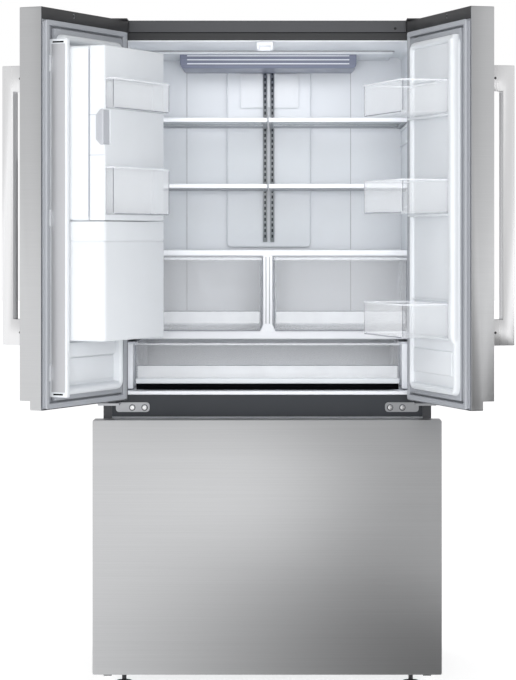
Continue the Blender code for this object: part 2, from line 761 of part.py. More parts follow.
def make_ice_room(door):
    """The insulated ice room on the door: its bucket, its own door, the latch and two bins."""
    bucket = bin_box(*ICE_BUCKET, radius=0.01)
    add_part("ice_bucket", bucket, "clear_plastic", door)
    hinge = add_frame("ice_door_axis", (*ICE_HINGE, 1.44), door)
    x = (ICE_HINGE[0] + 0.0025, ICE_X[1])
    y = (ICE_FRONT + GAP, BULGE_FRONT)
    panel = block(x, y, (ICE_Z[0] + 0.0015, ICE_Z[1]))
    pockets = []
    play = 0.0005
    bin_x, bin_y = (-0.3630, -0.0570), (0.1035, 0.1565)
    pocket_x, pocket_y = (bin_x[0] - play, bin_x[1] + play), (bin_y[0] - play, 0.16)
    for low, high in ICE_DOOR_POCKETS:
        pockets.append(block(pocket_x, pocket_y, (low, high)))
    add_part("ice_room_door", panel, "white_liner", hinge, cut=pockets)
    for name, low, high in ICE_DOOR_BINS:
        body = bin_box(bin_x, bin_y, (low, high), radius=0.010)
        add_part(name, body, "clear_plastic", hinge)
    latch_hinge = add_frame("latch_axis", (-0.0477, 0.0955, 1.452), hinge)
    add_part("ice_latch", block(*LATCH), "white_liner", latch_hinge)


def make_flap(door):
    """The hinged centre post. It is drawn across the gap, then folded in against the door."""
    hinge = add_frame("flap_axis", (*FLAP_HINGE, 1.23), door, turn=math.radians(90))
    arms = []
    arm_x = (FLAP_POST[0][0], FLAP_POST[0][0] + 0.006)
    half_arm = 0.02
    for middle in FLAP_LEVELS:
        arms.append(block(arm_x, (-0.011, 0.002), (middle - half_arm, middle + half_arm)))
    add_part("mullion_flap", block(*FLAP_POST), "door_frame", hinge, join=arms)


def make_right_door():
    door = door_frame_empty(1, "right", RIGHT_OPEN)
    make_door_shell(1, "right", door, [])
    make_door_seal(1, "right", door)
    make_handle(1, "right", door)
    base = block((0.042, 0.400), (INNER + GAP, -0.003), (0.780, 1.698))
    raised = block((0.044, 0.3735), (-0.010, 0.006), (0.792, 1.688))
    dike = block((0.044, 0.077), (-0.010, 0.020), (0.925, 1.688))
    add_part("right_door_liner", base, "white_liner", door, join=[raised, dike])
    for word, low, high in RIGHT_BINS:
        body = bin_box((0.0775, 0.372), (0.0065, 0.1375), (low, high))
        add_part(f"right_bin_{word}", body, "clear_plastic", door)


def main():
    clear_scene()
    make_looks()
    root = add_frame("cabinet", (0.0, 0.0, 0.0))
    make_case_panels(root)
    make_base_pan(root)
    make_rails(root)
    make_liners(root)
    make_hinges(root)
    make_feet()
    make_rollers()
    make_machinery(root)
    make_cavity_fittings(root)
    make_shelves(root)
    make_crisper_frame(root)
    make_drawers()
    make_freezer_drawer()
    make_left_door()
    make_right_door()


main()
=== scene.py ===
"""French door refrigerator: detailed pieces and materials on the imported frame.

Pieces are drawn in the cabinet's own frame, doors closed (X=0 on the centre line, Y=0 on the
case's front plane, Z=0 on the floor), then carried to where their body rests.
"""

import json
import math

import bmesh
import bpy
from mathutils import Matrix, Vector

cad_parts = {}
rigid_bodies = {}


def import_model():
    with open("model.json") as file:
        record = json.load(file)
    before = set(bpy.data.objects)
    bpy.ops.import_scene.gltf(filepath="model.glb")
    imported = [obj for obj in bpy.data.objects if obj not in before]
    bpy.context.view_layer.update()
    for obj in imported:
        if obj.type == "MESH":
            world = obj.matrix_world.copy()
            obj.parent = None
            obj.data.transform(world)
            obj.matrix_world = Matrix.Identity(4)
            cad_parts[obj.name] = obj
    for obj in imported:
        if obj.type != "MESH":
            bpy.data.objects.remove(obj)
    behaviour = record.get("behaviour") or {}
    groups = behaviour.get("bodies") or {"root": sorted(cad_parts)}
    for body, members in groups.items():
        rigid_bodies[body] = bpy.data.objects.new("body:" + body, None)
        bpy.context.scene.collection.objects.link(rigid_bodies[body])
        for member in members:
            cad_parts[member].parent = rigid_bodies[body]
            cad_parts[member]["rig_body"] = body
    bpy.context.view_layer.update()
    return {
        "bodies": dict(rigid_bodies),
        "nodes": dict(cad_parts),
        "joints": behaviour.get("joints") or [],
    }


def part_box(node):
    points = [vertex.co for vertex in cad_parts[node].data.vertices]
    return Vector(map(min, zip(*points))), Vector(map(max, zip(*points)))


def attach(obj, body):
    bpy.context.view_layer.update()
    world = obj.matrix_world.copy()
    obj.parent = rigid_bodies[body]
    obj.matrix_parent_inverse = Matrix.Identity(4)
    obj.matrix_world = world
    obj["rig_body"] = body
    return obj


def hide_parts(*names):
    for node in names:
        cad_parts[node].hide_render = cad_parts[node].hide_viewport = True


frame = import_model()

NODES = frame["nodes"]
JOINTS = {joint["name"]: joint for joint in frame["joints"]}
SHARP = math.radians(32)
LOOKS = {}

# Where the bodies rest ----------------------------------------------------------------------


def turned_open(joint, degrees):
    pivot = Matrix.Translation(Vector(joint["pos_m"]))
    turn = Matrix.Rotation(math.radians(degrees), 4, Vector(joint["axis"]))
    return pivot @ turn @ pivot.inverted()


def resting_places():
    """For each body, the matrix from the closed cabinet's frame to the body at rest."""
    low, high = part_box("mid_rail")
    cabinet = Matrix.Translation(Vector(((low.x + high.x) / 2, low.y, 0)))
    places = dict.fromkeys(frame["bodies"], cabinet)
    for side in ("left", "right"):
        hinge = JOINTS[f"{side}_door_hinge"]
        places[f"{side}_door"] = turned_open(hinge, -hinge["range_deg"][0]) @ cabinet
    for body in ("dispenser_paddle", "ice_room_door", "ice_latch"):
        places[body] = places["left_door"]
    fold = JOINTS["mullion_flap_hinge"]
    places["mullion_flap"] = turned_open(fold, -fold["range_deg"][0]) @ places["left_door"]
    return places


PLACES = resting_places()


def span(node):
    """A node's X, Y and Z ranges in the closed cabinet's frame."""
    back = PLACES[NODES[node]["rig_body"]].inverted()
    points = [back @ vertex.co for vertex in NODES[node].data.vertices]
    return [(min(p[i] for p in points), max(p[i] for p in points)) for i in range(3)]


# Solids -------------------------------------------------------------------------------------


def rect(a0, a1, b0, b1):
    return [(a0, b0), (a1, b0), (a1, b1), (a0, b1)]


def rounded(a0, a1, b0, b1, radius, steps=4):
    radius = max(radius, 0.0002)
    corners = (
        (a1 - radius, b0 + radius, -90),
        (a1 - radius, b1 - radius, 0),
        (a0 + radius, b1 - radius, 90),
        (a0 + radius, b0 + radius, 180),
    )
    points = []
    for ca, cb, start in corners:
        for step in range(steps + 1):
            angle = math.radians(start + 90 * step / steps)
            points.append((ca + radius * math.cos(angle), cb + radius * math.sin(angle)))
    return points


def circle(ca, cb, radius, count=24):
    turn = 2 * math.pi / count
    return [(ca + radius * math.cos(i * turn), cb + radius * math.sin(i * turn)) for i in range(count)]


def ring(outline, axis, level):
    if axis == "X":
        return [Vector((level, a, b)) for a, b in outline]
    if axis == "Y":
        return [Vector((a, level, b)) for a, b in outline]
    return [Vector((a, b, level)) for a, b in outline]


def loft(rings, cyclic=False):
    """One body through rings of equal point counts, capped at both ends unless it is cyclic."""
    body = bmesh.new()
    loops = [[body.verts.new(point) for point in points] for points in rings]
    count = len(loops[0])
    pairs = list(zip(loops, loops[1:])) + ([(loops[-1], loops[0])] if cyclic else [])
    for low, high in pairs:
        for i in range(count):
            j = (i + 1) % count
            body.faces.new((low[i], low[j], high[j], high[i]))
    if not cyclic:
        body.faces.new(loops[0])
        body.faces.new(loops[-1])
    bmesh.ops.recalc_face_normals(body, faces=body.faces)
    return body


def prism(outline, axis, low, high):
    return loft([ring(outline, axis, low), ring(outline, axis, high)])


def block(x, y, z):
    return prism(rect(*x, *y), "Z", *z)


def slab(x, y, z, radius, segments=3):
    """A block with all its edges rounded."""
    body = block(x, y, z)
    bmesh.ops.bevel(
        body, geom=body.edges[:], offset=radius, segments=segments, profile=0.5, affect="EDGES"
    )
    return body


def puck(a, b, axis, low, high, corner, edge):
    """A plate with one radius round its outline and a smaller one along its two rims."""
    rings = []
    for level, sign in ((low, 1), (high, -1)):
        part = []
        for turn in (0, 30, 60, 90):
            inset = edge * (1 - math.sin(math.radians(turn)))
            rise = edge * (1 - math.cos(math.radians(turn)))
            outline = rounded(a[0] + inset, a[1] - inset, b[0] + inset, b[1] - inset, corner - inset)
            part.append(ring(outline, axis, level + sign * rise))
        rings += part if sign > 0 else part[::-1]
    return loft(rings)


def flat_band(width, start, end):
    """A hoop's rectangular profile, from its outer edge inwards."""
    return [(0.0, start), (0.0, end), (width, end), (width, start)]


def hoop(a, b, corner, profile, axis="Y"):
    """A closed band round a rectangle; its section is a list of (inset, level) pairs."""
    rings = []
    for inset, level in profile:
        outline = rounded(a[0] + inset, a[1] - inset, b[0] + inset, b[1] - inset, corner - inset)
        rings.append(ring(outline, axis, level))
    return loft(rings, cyclic=True)


def turned(profile, centre, axis, count=24):
    """A body of revolution from (radius, height) pairs."""
    rings = []
    others = {"X": (1, 2), "Y": (0, 2), "Z": (0, 1)}[axis]
    along = "XYZ".index(axis)
    for radius, height in profile:
        outline = circle(centre[others[0]], centre[others[1]], max(radius, 0.0002), count)
        rings.append(ring(outline, axis, centre[along] + height))
    return loft(rings)


def bin_body(x, y, z, wall, corner, floor, taper=0.0, rim=0.0):
    """A moulded bin: tapered walls, a rolled rim and a rounded bottom edge."""
    low, high = z
    rows = [
        (taper + 0.003, low),
        (taper + 0.0008, low + 0.0012),
        (taper, low + 0.004),
        (rim, high - 0.006),
        (0.0, high - 0.005),
        (0.0, high - 0.0008),
        (0.0008, high),
        (wall + rim - 0.0008, high),
        (wall + rim, high - 0.0008),
        (wall + taper, low + floor + 0.003),
        (wall + taper + 0.002, low + floor),
    ]
    rings = []
    for inset, level in rows:
        outline = rounded(x[0] + inset, x[1] - inset, y[0] + inset, y[1] - inset, corner - inset)
        rings.append(ring(outline, "Z", level))
    return loft(rings)


def screw(centre, axis, sign, radius=0.004):
    """A pan head with a round recess in its top, standing on its centre point."""
    rise = radius * 0.55
    profile = [(radius, 0.0), (radius, sign * rise * 0.4), (radius * 0.75, sign * rise)]
    profile += [(radius * 0.3, sign * rise * 1.05), (radius * 0.22, sign * rise * 0.45)]
    head = turned(profile, centre, axis, 16)
    return head


def carved(body, cutters):
    """The body with the cutters taken away."""
    temporary = [body] + cutters
    objects = []
    for part in temporary:
        mesh = bpy.data.meshes.new("carving")
        part.to_mesh(mesh)
        part.free()
        obj = bpy.data.objects.new("carving", mesh)
        bpy.context.scene.collection.objects.link(obj)
        objects.append(obj)
    for cutter in objects[1:]:
        cut = objects[0].modifiers.new("Cut", "BOOLEAN")
        cut.operation = "DIFFERENCE"
        cut.object = cutter
    graph = bpy.context.evaluated_depsgraph_get()
    result = bmesh.new()
    result.from_object(objects[0], graph)
    for obj in objects:
        bpy.data.objects.remove(obj)
    return result


def joined(bodies):
    whole = bmesh.new()
    for body in bodies:
        mesh = bpy.data.meshes.new("joining")
        body.to_mesh(mesh)
        body.free()
        whole.from_mesh(mesh)
        bpy.data.meshes.remove(mesh)
    return whole


def piece(name, bodies, look, rides="cabinet", stands_for=()):
    """One visible object made of the bodies given, which are in the closed cabinet's frame."""
    whole = joined(bodies)
    whole.transform(PLACES[rides])
    return finished(name, whole, look, rides, stands_for)


def finished(name, whole, look, rides, stands_for=()):
    mesh = bpy.data.meshes.new(name)
    whole.to_mesh(mesh)
    whole.free()
    material, slot = LOOKS[look]
    mesh.materials.append(material)
    mesh.shade_smooth()
    mesh.set_sharp_from_angle(angle=SHARP)
    obj = bpy.data.objects.new(name, mesh)
    bpy.context.scene.collection.objects.link(obj)
    obj.visible_shadow = look not in SHADOWLESS
    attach(obj, rides)
    if stands_for:
        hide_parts(*stands_for)
    return obj


def softened(node, look, width, segments=2):
    """A copy of a node with its edges rounded, which stands for it."""
    body = bmesh.new()
    body.from_mesh(NODES[node].data)
    bmesh.ops.remove_doubles(body, verts=body.verts, dist=1e-5)
    bmesh.ops.dissolve_limit(
        body, angle_limit=math.radians(2), verts=body.verts, edges=body.edges
    )
    edges = [e for e in body.edges if len(e.link_faces) == 2 and e.calc_face_angle(0) > SHARP]
    bmesh.ops.bevel(
        body, geom=edges, offset=width, segments=segments, profile=0.5, affect="EDGES",
        clamp_overlap=True,
    )
    return finished(f"{node}_rounded", body, look, NODES[node]["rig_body"], (node,))


# Materials ----------------------------------------------------------------------------------


SHADOWLESS = set()


class Look:
    """A Principled material whose details come from textures in the object's own space."""

    def __init__(self, name, slot, colour, roughness, metallic=0.0, **fixed):
        self.material = bpy.data.materials.new(name)
        self.material.use_nodes = True
        self.tree = self.material.node_tree
        self.shader = self.tree.nodes["Principled BSDF"]
        self.place = self.tree.nodes.new("ShaderNodeTexCoord").outputs["Object"]
        self.set("Base Color", (*colour, 1.0))
        self.set("Roughness", roughness)
        self.set("Metallic", metallic)
        for socket, value in fixed.items():
            self.set(socket.replace("_", " "), value)
        LOOKS[name] = (self.material, slot)

    def set(self, socket, value):
        self.shader.inputs[socket].default_value = value

    def link(self, output, socket):
        self.tree.links.new(output, self.shader.inputs[socket])

    def noise(self, scale, detail=3.0, roughness=0.55, kind="ShaderNodeTexNoise"):
        """Texture values from noise that may be stretched differently along each axis."""
        mapping = self.tree.nodes.new("ShaderNodeMapping")
        mapping.inputs["Scale"].default_value = scale
        self.tree.links.new(self.place, mapping.inputs["Vector"])
        texture = self.tree.nodes.new(kind)
        texture.inputs["Scale"].default_value = 1.0
        if kind == "ShaderNodeTexNoise":
            texture.inputs["Detail"].default_value = detail
            texture.inputs["Roughness"].default_value = roughness
            self.tree.links.new(mapping.outputs[0], texture.inputs["Vector"])
            return texture.outputs["Fac"]
        self.tree.links.new(mapping.outputs[0], texture.inputs["Vector"])
        return texture.outputs["Distance"]

    def spread(self, value, low, high, start=0.3, end=0.7):
        node = self.tree.nodes.new("ShaderNodeMapRange")
        self.tree.links.new(value, node.inputs["Value"])
        for socket, number in zip(("From Min", "From Max", "To Min", "To Max"), (start, end, low, high)):
            node.inputs[socket].default_value = number
        return node.outputs["Result"]

    def tint(self, value, dark, light):
        node = self.tree.nodes.new("ShaderNodeMix")
        node.data_type = "RGBA"
        self.tree.links.new(self.spread(value, 0.0, 1.0), node.inputs["Factor"])
        node.inputs[6].default_value = (*dark, 1.0)
        node.inputs[7].default_value = (*light, 1.0)
        self.link(node.outputs[2], "Base Color")

    def bump(self, value, strength, depth):
        node = self.tree.nodes.new("ShaderNodeBump")
        node.inputs["Strength"].default_value = strength
        node.inputs["Distance"].default_value = depth
        self.tree.links.new(value, node.inputs["Height"])
        self.link(node.outputs["Normal"], "Normal")


def scaled(colour, factor):
    return tuple(min(1.0, channel * factor) for channel in colour)


def brushed(name, slot, colour, roughness, scale, contrast=0.06, depth=0.00004):
    """Metal with a fine grain, drawn out along the axes whose scale is small."""
    look = Look(name, slot, colour, roughness, 1.0, Anisotropic=0.45)
    grain = look.noise(scale, 5.0, 0.7)
    broad = look.noise(tuple(value * 0.18 for value in scale), 3.0)
    look.tint(grain, scaled(colour, 1 - contrast), scaled(colour, 1 + contrast))
    look.link(look.spread(broad, roughness - 0.04, roughness + 0.05), "Roughness")
    look.bump(grain, 0.35, depth)


def moulded(name, slot, colour, roughness, size=900.0, strength=0.12, contrast=0.015, **fixed):
    """Moulded plastic or paint: a fine surface texture and slight, broad unevenness."""
    look = Look(name, slot, colour, roughness, **fixed)
    fine = look.noise((size,) * 3, 2.0)
    broad = look.noise((7.0, 7.0, 5.0), 3.0)
    look.tint(broad, scaled(colour, 1 - contrast), scaled(colour, 1 + contrast))
    look.link(look.spread(broad, roughness - 0.04, roughness + 0.05), "Roughness")
    look.bump(fine, strength, 0.0002)


def see_through(name, slot, colour, roughness, clear, edge):
    """Thin clear sheet: nearly open face on, and denser where the sheet is seen along itself."""
    look = Look(name, slot, colour, roughness, IOR=1.45)
    facing = look.tree.nodes.new("ShaderNodeLayerWeight")
    facing.inputs["Blend"].default_value = 0.35
    alpha = look.spread(facing.outputs["Facing"], clear, edge, 0.0, 1.0)
    look.link(alpha, "Alpha")
    haze = look.noise((26.0, 26.0, 14.0), 3.0)
    look.tint(haze, scaled(colour, 0.97), scaled(colour, 1.03))
    look.link(look.spread(haze, roughness, roughness + 0.05), "Roughness")
    look.bump(look.noise((60.0,) * 3, 1.0), 0.02, 0.0006)
    SHADOWLESS.add(name)


def spangled(name, slot, colour, roughness):
    """Hot-dip zinc: crystals of slightly different brightness."""
    look = Look(name, slot, colour, roughness, 0.85)
    cells = look.noise((70.0, 70.0, 70.0), kind="ShaderNodeTexVoronoi")
    look.tint(cells, scaled(colour, 0.88), scaled(colour, 1.1))
    look.link(look.spread(cells, roughness - 0.06, roughness + 0.08), "Roughness")
    look.bump(look.noise((400.0,) * 3, 2.0), 0.1, 0.0001)


def make_looks():
    brushed("steel", "steel", (0.63, 0.635, 0.645), 0.34, (2.0, 2.0, 1500.0))
    brushed("handle_steel", "steel", (0.90, 0.90, 0.91), 0.30, (1400.0, 1400.0, 3.0), 0.02, 0.00002)
    moulded("strip_steel", "door_frame", (0.50, 0.505, 0.525), 0.36, 300.0, 0.04, Metallic=0.35)
    moulded("case_paint", "case_paint", (0.062, 0.064, 0.070), 0.45, 700.0, 0.25)
    # A darker copy of the case paint: painted shade on the rail's lower face and round the hinge screws.
    moulded("case_paint_shade", "case_paint", (0.034, 0.035, 0.037), 0.5, 700.0, 0.25)
    moulded("rail_paint", "rail_paint", (0.029, 0.033, 0.040), 0.42, 700.0, 0.2)
    moulded("liner", "white_liner", (0.81, 0.83, 0.87), 0.34, 220.0, 0.03)
    moulded("door_liner", "white_liner", (0.69, 0.715, 0.745), 0.36, 220.0, 0.03)
    moulded("liner_bright", "white_liner", (0.80, 0.815, 0.85), 0.32, 220.0, 0.03)
    moulded("door_frame", "door_frame", (0.33, 0.345, 0.375), 0.46, 400.0, 0.08)
    moulded("trim_grey", "door_frame", (0.36, 0.37, 0.39), 0.40)
    moulded("latch_grey", "white_liner", (0.44, 0.455, 0.49), 0.40)
    moulded("gasket", "gasket_grey", (0.35, 0.365, 0.395), 0.62, 500.0, 0.3)
    moulded("black_plastic", "black_plastic", (0.018, 0.018, 0.02), 0.42, 1100.0, 0.4, 0.1)
    moulded("cap_plastic", "black_plastic", (0.030, 0.030, 0.032), 0.5, 700.0, 0.2, 0.05)
    # Near-black with almost no gloss: painted shade for grooves, seams, slots and recesses.
    moulded("painted_shade_black", "black_plastic", (0.002, 0.002, 0.003), 0.8, 300.0, 0.3, 0.1,
            Specular_IOR_Level=0.05)
    moulded("screen", "black_plastic", (0.012, 0.013, 0.016), 0.08, 30.0, 0.02, 0.05)
    moulded("icon", "white_liner", (0.75, 0.80, 0.86), 0.4)
    moulded("compressor_paint", "compressor_paint", (0.014, 0.014, 0.016), 0.32, 500.0, 0.4, 0.08)
    brushed("zinc", "zinc", (0.50, 0.51, 0.53), 0.36, (500.0, 500.0, 500.0), 0.04)
    brushed("screw_zinc", "zinc", (0.86, 0.86, 0.87), 0.22, (300.0, 300.0, 300.0), 0.03)
    brushed("fins", "aluminium_fins", (0.72, 0.72, 0.74), 0.32, (300.0, 300.0, 8.0))
    brushed("copper", "aluminium_fins", (0.72, 0.36, 0.22), 0.30, (60.0, 60.0, 60.0))
    spangled("galvanised", "galvanised", (0.47, 0.48, 0.49), 0.46)
    see_through("clear_plastic", "clear_plastic", (0.92, 0.94, 0.97), 0.08, 0.05, 0.5)
    see_through("clear_rim", "clear_plastic", (0.88, 0.90, 0.94), 0.12, 0.35, 0.8)
    see_through("frosted", "clear_plastic", (0.90, 0.92, 0.95), 0.45, 0.35, 0.8)
    # Painted shade: the dark lines at the edges and corners of clear plastic.
    see_through("clear_edge_shade", "clear_plastic", (0.16, 0.17, 0.2), 0.2, 0.6, 0.9)
    moulded("seam", "white_liner", (0.42, 0.45, 0.52), 0.5, 220.0, 0.05)
    see_through("glass", "shelf_glass", (0.78, 0.86, 0.86), 0.04, 0.12, 0.8)
    lamp = Look("lamp", "white_liner", (0.60, 0.65, 0.76), 0.35, Emission_Strength=0.02)
    lamp.set("Emission Color", (0.62, 0.70, 1.0, 1.0))
    bands = lamp.noise((4.0, 4.0, 260.0), 2.0)
    lamp.tint(bands, (0.17, 0.185, 0.25), (0.20, 0.215, 0.29))
    lamp.link(lamp.spread(bands, 0.28, 0.42), "Roughness")
    lamp.bump(bands, 0.2, 0.0005)


NODE_LOOKS = {
    "steel": "steel",
    "case_paint": "case_paint",
    "rail_paint": "rail_paint",
    "white_liner": "liner",
    "door_frame": "door_frame",
    "gasket_grey": "gasket",
    "clear_plastic": "clear_plastic",
    "shelf_glass": "glass",
    "black_plastic": "black_plastic",
    "zinc": "zinc",
    "galvanised": "galvanised",
    "aluminium_fins": "fins",
    "compressor_paint": "compressor_paint",
}


def dress_nodes():
    """Gives every CAD node the detailed material of its slot."""
    for obj in NODES.values():
        for slot in obj.material_slots:
            name = slot.material.name.split(".")[0]
            slot.material = LOOKS[NODE_LOOKS[name]][0]


# The case -----------------------------------------------------------------------------------


def make_back():
    x, y, z = span("case_back")
    face = y[1] - 0.0022
    field = prism(rect(*x, *z), "Y", y[0], face)
    beads = []
    for centre in (-0.30, -0.10, 0.10, 0.30):
        bead = (centre - 0.03, centre + 0.03)
        beads.append(puck(bead, (z[0] + 0.12, z[1] - 0.12), "Y", face - 0.001, y[1] - 0.0002, 0.029, 0.0015))
    border = hoop(x, z, 0.002, [(0.0, face - 0.001), (0.0, y[1]), (0.012, y[1]), (0.014, face - 0.001)])
    piece("back_panel", [field, border] + beads, "galvanised", stands_for=("case_back",))
    heads = []
    for across in (x[0] + 0.022, 0.0, x[1] - 0.022):
        for height in (z[0] + 0.04, (z[0] + z[1]) / 2, z[1] - 0.04):
            heads.append(screw((across, face, height), "Y", 1, 0.0038))
    piece("back_screws", heads, "zinc")


def make_fronts_of_case():
    x = span("top_rail")[0]
    sensor_profile = [(0.0038, 0.001), (0.0036, -0.0008), (0.0015, -0.0014)]
    sensor_place = (0.336, 0.0, 1.732)
    piece("rail_sensor", [turned(sensor_profile, sensor_place, "Y")], "black_plastic")
    # A darker copy of the case paint across the rail's lower part: painted shade.
    lower = block((x[0] + 0.001, x[1] - 0.001), (0.0022, 0.0034), (1.7014, 1.7206))
    piece("rail_lower_shade", [lower], "case_paint_shade")
    # A near-black strip in the rail's groove: painted shade.
    groove = block((x[0] + 0.002, x[1] - 0.002), (-0.0004, 0.001), (1.7208, 1.7222))
    piece("rail_groove_shade", [groove], "painted_shade_black")
    heads = []
    rings = []
    for side in (-1, 1):
        for across in (0.3226, 0.355):
            centre = (side * across, -0.0035, 0.7355)
            heads.append(screw(centre, "Y", -1, 0.0070))
            rings.append(turned([(0.0084, 0.0002), (0.0084, -0.0003)], centre, "Y", 20))
    piece("hinge_screws", heads, "screw_zinc")
    # The dark rings round the hinge screw heads are painted shade under the heads.
    piece("hinge_screw_shade", rings, "case_paint_shade")


def make_cavity():
    """The ceiling panel, the lamp, wall ribs and the back wall's duct, cover and rails."""
    x, y, z = span("ceiling_lamp")
    top = z[1]
    piece("ceiling_panel", [slab((-0.345, 0.345), (y[0] - 0.024, 0.585), (top - 0.008, top), 0.003)], "liner")
    # A grey strip in front of the ceiling panel: painted shade in the gap at the panel's front edge.
    piece("ceiling_gap_shade", [block((-0.349, 0.349), (y[0] - 0.0275, y[0] - 0.0245), (top - 0.0035, top))],
          "trim_grey")
    body = puck(x, (z[0], z[1] + 0.012), "Y", y[0], y[1], 0.014, 0.004)
    cover = carved(body, [block((-0.4, 0.4), (0.2, 0.7), (top - 0.0075, 1.8))])
    piece("lamp_cover", [cover], "lamp", stands_for=("ceiling_lamp",))
    bands = [
        slab((x[0] + 0.02, x[1] - 0.02), (y[0] - 0.0012, y[0] + 0.004), (level, level + 0.003), 0.0008, 2)
        for level in (z[0] + 0.011, z[0] + 0.022, z[0] + 0.033)
    ]
    piece("lamp_bands", bands, "liner")
    guide = carved(
        slab((-0.028, 0.015), (0.004, 0.050), (1.6765, 1.698), 0.003),
        [slab((-0.022, 0.009), (0.0, 0.03), (1.66, 1.688), 0.002)],
    )
    piece("flap_guide", [guide], "liner")
    make_wall_ribs()
    make_back_wall()


def make_wall_ribs():
    ribs = []
    wall = -span("fridge_liner")[0][0] - 0.0492
    for side in (-1, 1):
        for level in (span("shelf_upper_left")[2][0], span("shelf_middle_left")[2][0]):
            for height in (0.0, -0.045):
                sides = sorted((side * (wall - 0.005), side * (wall + 0.004)))
                ribs.append(slab(sides, (0.19, 0.56), (level + height - 0.007, level + height - 0.001),
                                 0.002))
        sides = sorted((side * (wall - 0.003), side * (wall + 0.004)))
        for depth in (0.09, 0.125):
            ribs.append(slab(sides, (depth, depth + 0.006), (1.16, 1.66), 0.002))
    piece("wall_ribs", ribs, "liner")


def make_back_wall():
    x, y, z = span("rear_duct")
    duct = puck(x, z, "Y", y[0] + 0.0015, y[1] + 0.001, 0.012, 0.004)
    slots = []
    for side in (-1, 1):
        for level in (z[0] + 0.135, z[0] + 0.315):
            for k in range(3):
                low = level + 0.008 * k
                a = sorted((side * 0.060, side * 0.108))
                slots.append(block(a, (y[0] - 0.01, y[0] + 0.004), (low, low + 0.003)))
    piece("duct_panel", [carved(duct, slots)], "liner", stands_for=("rear_duct",))
    cover = puck((-0.082, 0.087), (1.553, 1.651), "Y", y[0] - 0.004, y[0] + 0.002, 0.006, 0.0015)
    lines = [block((-0.070, 0.075), (y[0] - 0.006, y[0] - 0.0033), (k, k + 0.0012))
             for k in (1.564, 1.5695, 1.575)]
    mark = prism(circle(0.055, 1.638, 0.0045), "Y", y[0] - 0.006, y[0] - 0.0033)
    piece("filter_cover", [carved(cover, lines + [mark])], "liner_bright")
    ly, lz = span("shelf_ladder")[1:]
    rails = []
    holes = []
    for side in (-1, 1):
        a = sorted((side * 0.0045, side * 0.0160))
        rails.append(slab(a, (ly[0] - 0.0005, ly[1] + 0.0005), lz, 0.001, 2))
        for k in range(30):
            low = lz[0] + 0.012 + 0.016 * k
            b = sorted((side * 0.0080, side * 0.0125))
            holes.append(block(b, (ly[0] - 0.0009, ly[0] + 0.001), (low, low + 0.009)))
    piece("ladder_rails", rails, "zinc", stands_for=("shelf_ladder",))
    piece("ladder_slots", holes, "rail_paint")
    seams = [block((s * 0.235 - 0.0006, s * 0.235 + 0.0006), (0.5885, 0.5905), (0.95, 1.66)) for s in (-1, 1)]
    piece("wall_seams", seams, "trim_grey")


def make_shelves():
    for level in ("upper", "middle"):
        for side in ("left", "right"):
            node = f"shelf_{level}_{side}"
            x, y, z = span(node)
            top = z[1] - 0.004
            pane = slab((x[0] + 0.004, x[1] - 0.004), (y[0] + 0.008, y[1] - 0.006),
                        (top - 0.0045, top - 0.0005), 0.0008, 2)
            piece(f"{node}_glass", [pane], "glass", stands_for=(node,))
            front = slab((x[0] + 0.001, x[1] - 0.0005), (y[0], y[0] + 0.014), (z[0] + 0.002, top + 0.0015),
                         0.0028)
            piece(f"{node}_front", [front], "liner_bright")
            under = [
                slab((x[0] + 0.003, x[1] - 0.003), (y[0] + 0.0145, y[0] + 0.034),
                     (z[0] + 0.001, top - 0.005), 0.0015),
                slab((x[0] + 0.003, x[1] - 0.003), (y[1] - 0.050, y[1] - 0.013), (z[0] + 0.001, top - 0.005),
                     0.0015),
            ]
            for a in (x[0] + 0.002, x[1] - 0.014):
                under.append(slab((a, a + 0.012), (y[0] + 0.012, y[1] - 0.004), (z[0], top - 0.005), 0.0015))
            piece(f"{node}_frame", under, "door_frame")
            rear = slab((x[0] + 0.002, x[1] - 0.002), (y[1] - 0.012, y[1]), (z[1] - 0.013, z[1]), 0.003)
            piece(f"{node}_rear", [rear], "liner_bright")


def make_crisper_frame():
    x, y, z = span("crisper_frame")
    post = 0.013
    floor_top, cover_low = z[0] + 0.022, z[1] - 0.016
    floor = slab(x, y, (z[0], floor_top), 0.003)
    cover = [
        slab(x, (y[0], y[0] + 0.022), (cover_low, z[1]), 0.004),
        slab(x, (y[1] - 0.03, y[1]), (cover_low, z[1]), 0.004),
    ]
    for a in (x[0], x[1] - 0.018):
        cover.append(slab((a + 0.0008, a + 0.0172), (y[0] + 0.008, y[1] - 0.004),
                          (cover_low + 0.001, z[1] - 0.001), 0.003))
    pane = slab((x[0] + 0.017, x[1] - 0.017), (y[0] + 0.02, y[1] - 0.028), (z[1] - 0.006, z[1] - 0.001),
                0.0008, 2)
    piece("crisper_cover_glass", [pane], "glass")
    upright = slab((-post, post), (y[0] + 0.002, y[1]), (floor_top - 0.004, cover_low + 0.004), 0.003)
    foot = loft([
        ring(rounded(-0.024, 0.024, y[0] + 0.0005, y[0] + 0.03, 0.003), "Z", floor_top - 0.001),
        ring(rounded(-0.018, 0.018, y[0] + 0.001, y[0] + 0.03, 0.003), "Z", floor_top + 0.006),
        ring(rounded(-post, post, y[0] + 0.002, y[0] + 0.03, 0.003), "Z", floor_top + 0.018),
    ])
    piece("crisper_cover", cover + [floor, upright, foot], "liner_bright", stands_for=("crisper_frame",))
    # Grey strips beside the upright and under the cover's front edge: painted shade in the gaps between the
    # crispers and the frame.
    dark = []
    for side in (-1, 1):
        a = sorted((side * 0.0035, side * 0.0060))
        dark.append(slab(a, (y[0] + 0.0005, y[0] + 0.006), (floor_top + 0.02, cover_low - 0.002), 0.0008, 2))
        b = sorted((side * 0.016, side * (x[1] - 0.004)))
        dark.append(block(b, (y[0] + 0.003, y[0] + 0.0045), (cover_low - 0.0022, cover_low + 0.001)))
    piece("crisper_seals", dark, "trim_grey")


